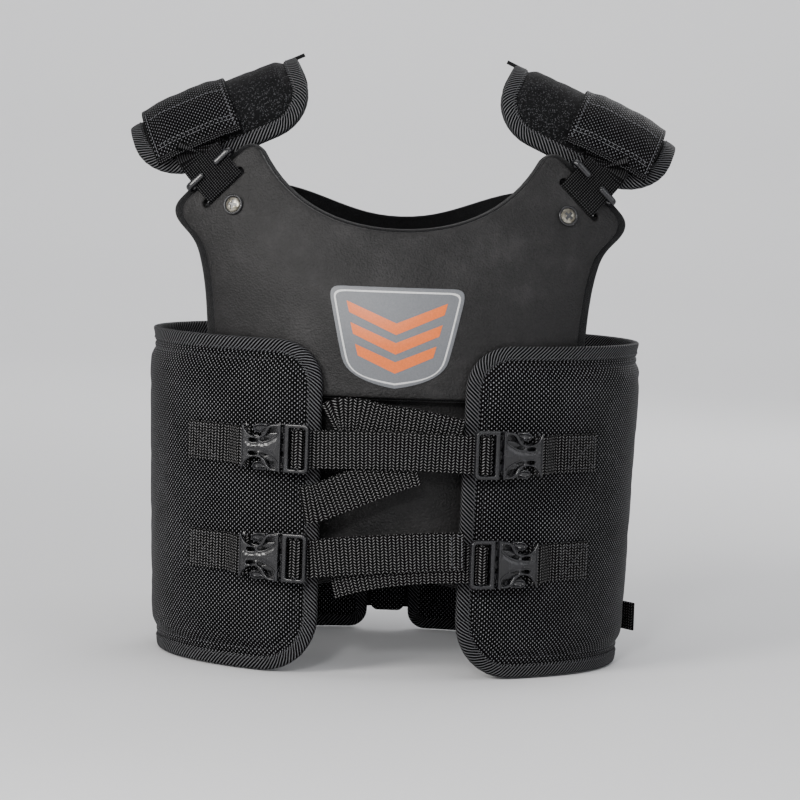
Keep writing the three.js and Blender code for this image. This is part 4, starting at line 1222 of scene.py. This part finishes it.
def strap_stitches(frames, from_length, to_length, width, cross=False, lift=WEBBING / 2):
    """A sewn box across a strap between two lengths, with a cross inside if wanted."""
    travel = travelled(frames)

    def place(a, reach, height):
        spot = float(np.interp(reach, travel, range(len(frames))))
        k = min(int(spot), len(frames) - 2)
        centre, wide, out = (frames[k][part].lerp(frames[k + 1][part], spot - k) for part in range(3))
        return centre + wide * a + out * height

    half = width / 2 - BOX_INSET
    corners = [(-half, from_length), (half, from_length), (half, to_length), (-half, to_length)]
    lines = list(zip(corners, corners[1:] + corners[:1]))
    if cross:
        lines += [(corners[0], corners[2]), (corners[1], corners[3])]
    return [stitch for line in lines for stitch in seam_stitches(line, place, lift)]


def outer_face(out, way):
    """The lift of a strap's face that looks the given way."""
    return WEBBING / 2 if out.dot(way) > 0 else -WEBBING / 2


def in_front(points):
    """Points from (x, distance in front of the middle, height) in mm."""
    return [Vector((x * MM, -y * MM, z * MM)) for x, y, z in points]


def centre_run(side, row, path):
    """A waist strap across the front, into a plug and round its bar, with heights over the plug's middle."""
    buckle = BuckleFrame(side, row)
    middle = buckle.origin.z
    line = [Vector((SIDES[side] * x * MM, -y * MM, middle + rise * MM)) for x, y, rise in path]
    return ribbon_frames(line + [buckle.place(u * MM, 0, w * MM) for u, w in PLUG_ROUTE], UP)


def bend_to_plug(piece, side, row):
    """Applies the piece's placement to its mesh. The plug's rim is found but not used."""
    rim = BuckleFrame(side, row).place(-1 * MM, 0, 0)
    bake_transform(piece)


def make_upper_run():
    """The upper waist strap's halves, with the spare webbing behind them and the tail folded down below."""
    nodes = {"right": ["upper_strap", "right_upper_plug_webbing"], "left": ["left_upper_plug_webbing"]}
    for side in SIDES:
        piece = waist_strap(f"{side}_upper_run", centre_run(side, "upper", UPPER_PATH), None, nodes[side])
        bend_to_plug(piece, side, "upper")
    waist_strap("upper_spare", ribbon_frames(in_front(UPPER_SPARE), UP), "root", ["upper_strap_tail"])
    waist_strap("upper_tail", ribbon_frames(in_front(UPPER_TAIL), TAIL_TILT), "root")


def make_lower_run():
    """The lower waist strap: a front layer from the right plug, and one behind it from the left plug."""
    frames = centre_run("right", "lower", LOWER_FRONT)
    middle = next(k for k, (centre, wide, out) in enumerate(frames) if centre.x < 0)
    nodes = ["lower_strap", "right_lower_plug_webbing"]
    front = waist_strap("lower_front_run", frames[middle:], None, nodes, travelled(frames)[middle])
    bend_to_plug(front, "right", "lower")
    end = waist_strap("lower_front_end", frames[:middle + 1], None)
    stitches = sew("lower_end_stitches", strap_stitches(frames, *mm(1.6, 8), WAIST_WIDTH), None, "thread")
    bend_to_plug(end, "left", "lower")
    bend_to_plug(stitches, "left", "lower")
    back = waist_strap("lower_back_run", centre_run("left", "lower", LOWER_BACK), None,
                       ["lower_strap_tail", "left_lower_plug_webbing"])
    bend_to_plug(back, "left", "lower")


def make_stubs():
    """Webbing from each socket to the wrap, folded under at its end and sewn down in a box."""
    for side, row in every_buckle():
        name, sign = f"{side}_{row}", SIDES[side]
        buckle = BuckleFrame(side, row)
        z = buckle.origin.z
        tail = buckle.place(*mm(47.5, 0, 5.2))
        inner = arc_at(abs(tail.x) + 7 * MM, z, STUB_LIFT)
        stations = np.linspace(arc_at(STUB_ENDS[row], z, STUB_LIFT), inner, 6)
        line = [wrap_surface(sign * s, z, STUB_LIFT + 1.7 * MM) for s in stations]
        line += [tail, buckle.place(*mm(44, 0, 4.4)), buckle.place(*mm(40.5, 0, 4.2))]
        frames = ribbon_frames(line, UP)
        under = ribbon_frames([wrap_surface(sign * s, z, STUB_LIFT) for s in stations[:5]], UP)
        layers = joined([ribbon_mesh(frames, WAIST_WIDTH), ribbon_mesh(under, WAIST_WIDTH - 1 * MM)])
        finish_piece(f"{name}_stub", layers, "herringbone", f"{side}_wrap", [f"{name}_wrap_stub"])
        rows = strap_stitches(frames, 2.2 * MM, travelled(frames)[-1] * 0.42, WAIST_WIDTH, cross=True,
                              lift=outer_face(frames[0][2], buckle.out))
        sew(f"{name}_stub_stitches", rows, f"{side}_wrap")


# ---------------------------------------------------------------- shoulders
RIDGE = Vector(mm(102, -12, 320))
RIDGE_TILT = math.radians(25)
ARCH_DEPTH = 46 * MM
ARCH_HEIGHT = 60 * MM
STRAP_ALONG = 20 * MM
STRAP_LIFT = 12.3 * MM
SHOULDER_WIDTH = 30 * MM
SLEEVE_HALF = 30 * MM
SLEEVE_THICK = 1.5 * MM
SLEEVE_STITCH_LIFT = 1.6 * MM
SLEEVE_LIFT = 13.6 * MM
SLEEVE_FALL = 2.0 * MM
SLEEVE_RISE = 1.9 * MM
SLEEVE_SEAM = 2.5 * MM
RIPPLE = 0.22 * MM
PAD_HALF = 61 * MM
PAD_TAPE = 9 * MM
PAD_HELD = 14 * MM
LOOP_RISE = 17 * MM
PAD_RADII = mm(32, 34, 36, 30)
PAD_INNER = in_mm([(0, 1.4), (2, 0.9), (16, 0.3)])
PAD_OUTER = in_mm([(0, 4.2), (1.4, 5.6), (8.6, 6.2), (9.8, 5.6), (11.2, 6.9), (15, 8.2), (22, 9.0),
                   (40, 9.3)])
# The shoulder strap in mm: up and inwards from the chest slot, then (across, up, off the plate) on the back.
SLOT_ROUTE = [(9, 13.8), (3, 13.8), (0.7, 13.0), (0, 11.2), (0, 1.8), (0.8, 0.5), (3.5, -0.1),
              (12, -0.1), (22, 0.2)]
REAR_ROUTE = [(110, 322, 6.0), (103, 310, 5.4), (99, 300, 5.2), (95, 290, 5.2), (92, 274, 2.4),
              (90, 261, 1.2)]
# Half of a loop in mm, along its slot and inwards, and where the split one ends instead.
LOOP_HALF = [(9, -2.8), (17.2, -2.75), (18.7, -1.9), (19.1, -0.2), (18.7, 1.7), (17.2, 2.5), (9, 2.5)]
SPLIT_END = (5.0, -2.85)


def arch_axes(side):
    """Along the shoulder's ridge outwards, and away from the shoulder."""
    outwards = Vector((side * math.cos(RIDGE_TILT), 0, -math.sin(RIDGE_TILT)))
    return outwards, Vector((side * math.sin(RIDGE_TILT), 0, math.cos(RIDGE_TILT)))


def arch_point(side, along, angle, offset):
    """A point over a shoulder, with its angle positive to the front."""
    outwards, away = arch_axes(side)
    centre = Vector((side * RIDGE.x, RIDGE.y, RIDGE.z))
    front = Vector((0, -1, 0))
    return (centre + outwards * along + away * (ARCH_HEIGHT + offset) * math.cos(angle)
            + front * (ARCH_DEPTH + offset) * math.sin(angle))


PAD_ANGLES = np.linspace(-1.4, 1.4, 281)
PAD_ARCS = np.array(lengths([arch_point(1, 0, angle, 5 * MM) for angle in PAD_ANGLES]))
PAD_ARCS -= PAD_ARCS[-1] / 2


def arch_arcs(*degrees):
    """How far over the shoulder angles from its top lie."""
    return [float(np.interp(math.radians(angle), PAD_ANGLES, PAD_ARCS)) for angle in degrees]


def arch_surface(side):
    """Places (along the ridge, forwards over it) on a shoulder's arch."""
    def place(a, b, lift):
        return arch_point(side, a, float(np.interp(b, PAD_ARCS, PAD_ANGLES)), lift)
    return place


def make_pad(name, side):
    """The bound pad under the strap."""
    place = arch_surface(side)
    rear, front = arch_arcs(-64, 70)
    outline = rounded_box(-PAD_HALF, rear, PAD_HALF, front, PAD_RADII)
    make_padding(f"{name}_pad", outline, place, (PAD_INNER, PAD_OUTER), 4.5 * MM, "neoprene", "root",
                 f"{name}_shoulder_pad", PAD_HELD)
    section = tape_section(PAD_TAPE, PAD_OUTER, *mm(0.9, 0.9, 1.0))
    finish_piece(f"{name}_pad_binding", edge_tape(outline, place, section), "tape", "root")
    sew(f"{name}_pad_stitches", edge_stitches(outline, place, PAD_TAPE - 1.7 * MM, 6.95 * MM), "root")


def make_neck_tape(name, side):
    """The end of a hook tape that sticks out behind the pad's inner end."""
    place = arch_surface(side)
    line = [place(-PAD_HALF + reach * MM, -6 * MM, 6 * MM) for reach in (9, 4, -1, -6)]
    frames = ribbon_frames(line, (0, 1, 0), 1.2 * MM)
    finish_piece(f"{name}_neck_tape", ribbon_mesh(frames, 9 * MM, 2.4 * MM), "foam", "root")


def sleeve_lift(a, b):
    """The sleeve stands over the strap and comes down to the pad beside it."""
    beside = np.clip((np.abs(a - STRAP_ALONG) - 15.5 * MM) / (11 * MM), 0, 1)
    rise = SLEEVE_RISE * np.clip((b - 42 * MM) / (20 * MM), 0, 1)
    return SLEEVE_LIFT + rise - SLEEVE_FALL * beside * beside * (3 - 2 * beside)


def make_sleeve(name, side):
    """The sleeve over strap and pad, with its seams and its hem. The flap's seams and hem go on the flap's
    body; the panel goes on none.
    """
    place = arch_surface(side)
    rear, front = arch_arcs(-57, 61.5)
    left, right = STRAP_ALONG - SLEEVE_HALF, STRAP_ALONG + SLEEVE_HALF
    outline = rounded_box(left, rear, right, front, mm(2, 2, 2, 2), 3)

    def faces(depth, flat):
        low, high = rounded(0, SLEEVE_THICK, 0.6 * MM)(depth, flat)
        ripple = RIPPLE * np.sin(flat[:, 0] * 420 + 2.0) * np.sin(flat[:, 1] * 160 + 0.7)
        base = sleeve_lift(flat[:, 0], flat[:, 1]) + ripple
        return base + low, base + high

    def height(a, b):
        return float(sleeve_lift(a, b)) + SLEEVE_STITCH_LIFT

    mesh = plate_mesh(outline, place, faces, 2.6 * MM, mm(0.2, 0.6, 1.4))
    nodes = [f"{name}_sleeve_base", f"{name}_sleeve_flap"]
    panel = finish_piece(f"{name}_sleeve", mesh, "sleeve_cloth", None, nodes)
    fold = [tuple(arch_point(side, STRAP_ALONG, math.radians(angle), 14 * MM)) for angle in (-3, 12)]
    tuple(fold[0])
    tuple(fold[1])
    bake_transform(panel)
    sides = (left + SLEEVE_SEAM, right - SLEEVE_SEAM)
    rows = []
    for b in (front - 8.5 * MM, front - 11 * MM, front * 0.42):
        rows += seam_stitches([(left + 1.5 * MM, b), (right - 1.5 * MM, b)], place, height)
    for a in sides:
        rows += seam_stitches([(a, 16 * MM), (a, front - 2 * MM)], place, height)
    sew(f"{name}_flap_stitches", rows, f"{name}_flap", "thread")
    rows = []
    for a in sides:
        rows += seam_stitches([(a, rear + 2 * MM), (a, -8 * MM)], place, height)
    rows += seam_stitches([(left + 2 * MM, rear + 6 * MM), (right - 2 * MM, rear + 6 * MM)], place, height)
    sew(f"{name}_sleeve_stitches", rows, "root", "thread")
    line = [place(a, front - 0.9 * MM, float(sleeve_lift(a, front)) + 1.0 * MM)
            for a in np.linspace(left, right, 24)]
    beside = place(STRAP_ALONG, front, 14 * MM) - place(STRAP_ALONG, front - 1 * MM, 14 * MM)
    hem = ribbon_mesh(ribbon_frames(line, beside.normalized()), *mm(4.2, 2.4))
    finish_piece(f"{name}_sleeve_hem", hem, "hem", f"{name}_flap")


def lobe_frame(side):
    """The middle of a chest slot, with the ways along it, up the strap, and outwards."""
    point, along, up, normal = surface_axes(front_surface(0), side * LOBE.x, LOBE.y)
    cosine, sine = math.cos(SLOT_TILT), math.sin(SLOT_TILT)
    return point, along * cosine - up * side * sine, along * side * sine + up * cosine, normal


def strap_route(side):
    """From behind the chest slot, over the shoulder and down the back plate, with the ways across."""
    point, slot, up, out = lobe_frame(side)
    line = [point + up * rise * MM - out * depth * MM for rise, depth in SLOT_ROUTE]
    across = [slot] * len(line)
    for degrees in range(56, -61, -8):
        line.append(arch_point(side, STRAP_ALONG, math.radians(degrees), STRAP_LIFT))
        across.append(arch_axes(side)[0] * side)
    place = back_surface(0)
    for x, z, offset in REAR_ROUTE:
        here, outer, inner = (place(-side * (x + step) * MM, z * MM, offset * MM) for step in (0, 1, -1))
        line.append(here)
        across.append((outer - inner).normalized() * side)
    return line, across


def rod_mesh(line, across, width, thickness, ring=False):
    """A moulded bar of rounded section along a line, with domed ends unless it closes on itself."""
    if ring:
        centres = [Vector(p) for p in smooth_line(line, 0.9 * MM, closed=True)]
        total = len(centres)
        frames = []
        for k, centre in enumerate(centres):
            along = (centres[(k + 1) % total] - centres[k - 1]).normalized()
            wide = (across - along * across.dot(along)).normalized()
            frames.append((centre, wide, wide.cross(along)))
    else:
        frames = ribbon_frames(line, across, 0.7 * MM)
    travel = travelled(frames)
    section = [(width / 2 * math.cos(turn), thickness / 2 * math.sin(turn))
               for turn in np.linspace(0, 2 * math.pi, 15)[:-1]]
    section = [(a * (1.18 - 0.18 * abs(a) / (width / 2)), b) for a, b in section]
    rows = []
    for (centre, wide, out), reach in zip(frames, travel):
        near = min(reach, travel[-1] - reach) / (thickness / 2)
        size = 1.0 if ring or near >= 1 else math.sqrt(max(0.06, 1 - (1 - near) ** 2))
        rows.append([centre + wide * a * size + out * b * size for a, b in section])
    around = lengths([(a, b, 0) for a, b in section], closed=True)
    return grid_mesh(rows, around, [*travel, travel[-1] + 0.9 * MM], ring=ring)


def flip_along(half):
    """A loop's whole line from its half, as (along the slot, inwards) in mm."""
    return half + [(-a, b) for a, b in reversed(half)]


def make_loops(name, side):
    """The split loop with its two fingers at the chest slot, and the closed loop on the back."""
    point, slot, up, out = lobe_frame(side)
    centre = point + up * LOOP_RISE
    line = [centre + slot * a * MM - out * b * MM for a, b in flip_along([SPLIT_END, *LOOP_HALF])]
    bar = rod_mesh(line, up, *mm(4.4, 2.6))
    finish_piece(f"{name}_split_bar", bar, "acetal", "root", [f"{name}_split_loop"])
    place = back_surface(0)
    above, here, below = (place(-side * x * MM, z * MM, offset * MM) for x, z, offset in REAR_ROUTE[1:4])
    upward = (above - below).normalized()
    beside = place(-side * 100 * MM, *mm(300, 5.2)) - place(-side * 98 * MM, *mm(300, 5.2))
    beside = (beside - upward * beside.dot(upward)).normalized()
    inward = upward.cross(beside) * side
    if inward.y > 0:
        inward = -inward
    line = [here + beside * a * MM + inward * b * MM for a, b in flip_along(LOOP_HALF)]
    bar = rod_mesh(line, upward, *mm(4.4, 2.5), ring=True)
    finish_piece(f"{name}_rear_bar", bar, "acetal", "root", [f"{name}_rear_loop"])


def make_shoulders():
    """Each shoulder's pad, sleeve, strap and loops."""
    for name, side in SIDES.items():
        make_pad(name, side)
        make_neck_tape(name, side)
        make_sleeve(name, side)
        frames = ribbon_frames(*strap_route(side))
        strap = ribbon_mesh(frames, SHOULDER_WIDTH)
        finish_piece(f"{name}_strap", strap, "ribbed", "root", [f"{name}_shoulder_strap"])
        end = travelled(frames)[-1]
        rows = strap_stitches(frames, end - 20 * MM, end - 2.5 * MM, SHOULDER_WIDTH, cross=True,
                              lift=outer_face(frames[-1][2], BACKWARDS))
        sew(f"{name}_strap_stitches", rows, "root", "thread")
        make_loops(name, side)


# ---------------------------------------------------------------- fasteners, badge and spine
SCREW_HEAD = 4.9 * MM
SCREW_CUP = 6.9 * MM
CUP_HOLE = 5.05 * MM
CUP_EDGE = 0.85 * MM
RECESS_HALF = 0.85 * MM
RECESS_REACH = 2.9 * MM
RECESS_ARM = [(0.9, 0.9), (2.9, 0.8), (2.9, -0.8)]
NUT_EDGE = 0.4 * MM
BADGE_BASE = -PLATE_GAP + 0.02 * MM
BADGE_EDGE = 0.25 * MM
PRINT_LOW = 0.5 * MM
PRINT_EDGE = 0.05 * MM
# Each chevron's top and half width in mm.
CHEVRONS = [(247, 33), (233, 30), (219, 26.5)]
SPINE_OUTER = in_mm([(0, 3.0), (0.8, 5.6), (2.4, 6.6), (3.2, 6.3), (4.4, 7.2), (9, 7.7)])
SPINE_SEAM = 3.2 * MM
BAND_LIFT = 1.6 * MM


def flat_surface(point, along, up, normal):
    """Places (s, t) on the plane through a point."""
    def place(s, t, lift):
        return point + along * s + up * t + normal * lift
    return place


def make_screw(name, node, place, turn):
    """A pan head with a cross recess, and the dark cup that it sits in."""
    cosine, sine = math.cos(turn), math.sin(turn)

    def domed(depth, flat):
        radius = np.hypot(flat[:, 0], flat[:, 1])
        x = np.abs(flat[:, 0] * cosine + flat[:, 1] * sine)
        y = np.abs(flat[:, 1] * cosine - flat[:, 0] * sine)
        high = 2.5 * MM - 0.9 * MM * (radius / SCREW_HEAD) ** 2.4
        high = np.where(depth < 0.25 * MM, high - 0.3 * MM, high)
        arm = (np.minimum(x, y) < RECESS_HALF) & (np.maximum(x, y) < RECESS_REACH)
        return np.zeros(len(flat)), high - np.where(arm | (radius < 1.2 * MM), 1.1 * MM, 0.0)

    head = plate_mesh(circle((0, 0), SCREW_HEAD, 36), place, domed, 0.34 * MM, [0.25 * MM])
    cross = [point for k in range(4) for point in turned(in_mm(RECESS_ARM), (0, 0), turn - k * math.pi / 2)]
    recess = plate_mesh(cross, place, rounded(*mm(1.2, 1.95, 0.05)), 0.6 * MM)
    cup = moulded(circle((0, 0), SCREW_CUP, 36), place, *mm(0.1, 1.9), CUP_EDGE, 0.8 * MM,
                  [circle((0, 0), CUP_HOLE, 36)])
    finish_piece(f"{name}_head", head, "nickel", "root", [node], crease=30)
    finish_piece(f"{name}_cup", joined([cup, recess]), "acetal", "root")


def make_chest_screws():
    """A screw and its nut in each lobe."""
    for name, side in SIDES.items():
        point, *axes = surface_axes(front_surface(-PLATE_GAP), side * SCREW_SPOT.x, SCREW_SPOT.y)
        make_screw(f"{name}_screw", f"{name}_chest_screw", flat_surface(point, *axes), 0.35 + 0.5 * side)
        low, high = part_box(f"{name}_chest_nut")
        place = flat_surface((low + high) / 2, *axes)
        nut = moulded(circle((0, 0), SCREW_HEAD, 6), place, *mm(-1.6, 1.6), NUT_EDGE, 1.2 * MM,
                      [circle((0, 0), 2.3 * MM, 16)])
        finish_piece(f"{name}_nut", nut, "nickel", "root", [f"{name}_chest_nut"], crease=30)


def badge_outline(margin):
    """A shield, pointed down, set in from its edge by a margin."""
    top = 256.4 * MM - margin
    half = [(0, 190.5 * MM + margin)]
    grown(half, margin, [
        ((16, 193, 0, 1), (32, 198, -1, 0), (35, 210, -1, 0)),
        ((38, 222, -1, 0), (41, 236, -1, 0), (43.5, 248, -1, 0)),
    ], 10)
    grown(half, margin, [((44.5, 254, -1, -1), (43, 256.4, -1, -1), (37, 256.4, -1, -1))], 6)
    return mirrored(half + [(0, top)])


def make_badge():
    """A plain shield with three chevrons, printed on a thin patch."""
    place = front_surface(BADGE_BASE)
    patch = moulded(badge_outline(0), place, 0, 0.6 * MM, BADGE_EDGE, 2.5 * MM)
    finish_piece("badge_patch", patch, "badge_grey", "root", ["badge"])
    line = plate_mesh(badge_outline(2.4 * MM), place, rounded(PRINT_LOW, 0.72 * MM, PRINT_EDGE), 2 * MM, (),
                      [badge_outline(3.5 * MM)])
    finish_piece("badge_line", line, "badge_white", "root")
    bars = []
    for top, half in CHEVRONS:
        drop, thick = 0.42 * half, 7.5
        shape = [(-half, top), (0, top - drop), (half, top),
                 (half - 2, top - thick), (0, top - drop - thick), (2 - half, top - thick)]
        bars.append(plate_mesh(in_mm(shape), place, rounded(PRINT_LOW, 0.76 * MM, PRINT_EDGE), 2 * MM))
    finish_piece("badge_bars", joined(bars), "badge_orange", "root")


def make_spine():
    """The padded strip over the wraps' rear edges, with its two screws."""
    low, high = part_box("spine_band")
    half = (high.x - low.x) / 2 - 0.2 * MM
    outline = rounded_box(-half, low.z + 0.3 * MM, half, high.z - 0.3 * MM, mm(5, 5, 5, 5))
    place = back_surface(-0.9 * MM)
    strip = plate_mesh(outline, place, profiled(in_mm([(0, 1.4), (2, 0.3)]), SPINE_OUTER), 3 * MM,
                       [depth for depth, height in SPINE_OUTER[1:5]])
    finish_piece("spine_strip", strip, "ballistic", "root", ["spine_band"])
    sew("spine_stitches", edge_stitches(outline, place, SPINE_SEAM, 6.4 * MM), "root", "thread")
    for row in ROWS:
        node = f"{row}_spine_screw"
        frame_axes = surface_axes(place, 0, box_middle(node), 7.2 * MM)
        make_screw(f"{row}_spine", node, flat_surface(*frame_axes), 0.6)


def make_rear_bands():
    """An elastic band between the spine strip and each wrap's rear edge, on no body."""
    low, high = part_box("spine_band")
    on_strip, on_wrap = ARC_LENGTHS[-1] - 10.5 * MM, WRAP_END - 2 * MM
    for name, side in SIDES.items():
        middle = side * (on_strip + on_wrap) / 2
        line = [wrap_surface(middle, z, BAND_LIFT) for z in np.linspace(low.z + 3 * MM, high.z - 3 * MM, 12)]
        first, last = (wrap_surface(side * s, line[5].z, BAND_LIFT) for s in (on_strip, on_wrap))
        frames = ribbon_frames(line, (last - first).normalized(), 3 * MM)
        mesh = ribbon_mesh(frames, (last - first).length, 1.4 * MM)
        band = finish_piece(f"{name}_rear_band", mesh, "ribbed", None)
        tuple(first)
        tuple(last)
        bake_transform(band)


def make_waist_tail():
    """Spare webbing sewn to the rear of the left wrap, its tip standing out at the side."""
    low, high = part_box("left_waist_tail")
    z = (low.z + high.z) / 2
    line = [oval(1.66, z, STUB_LIFT + 8 * MM), oval(1.75, z, STUB_LIFT + 2.5 * MM)]
    line += [oval(angle, z, STUB_LIFT) for angle in np.arange(1.85, 2.6, 0.12)]
    frames = ribbon_frames(line, UP)
    width = high.z - low.z
    mesh = ribbon_mesh(frames, width - 0.5 * MM)
    finish_piece("left_tail", mesh, "herringbone", "left_wrap", ["left_waist_tail"])
    end = travelled(frames)[-1]
    rows = strap_stitches(frames, end * 0.55, end - 3 * MM, width, cross=True,
                          lift=outer_face(frames[-1][2], BACKWARDS))
    sew("left_tail_stitches", rows, "left_wrap")


make_camera()
make_stage()
make_plates()
make_wraps()
make_buckles()
make_upper_run()
make_lower_run()
make_stubs()
make_shoulders()
make_chest_screws()
make_badge()
make_spine()
make_rear_bands()
make_waist_tail()
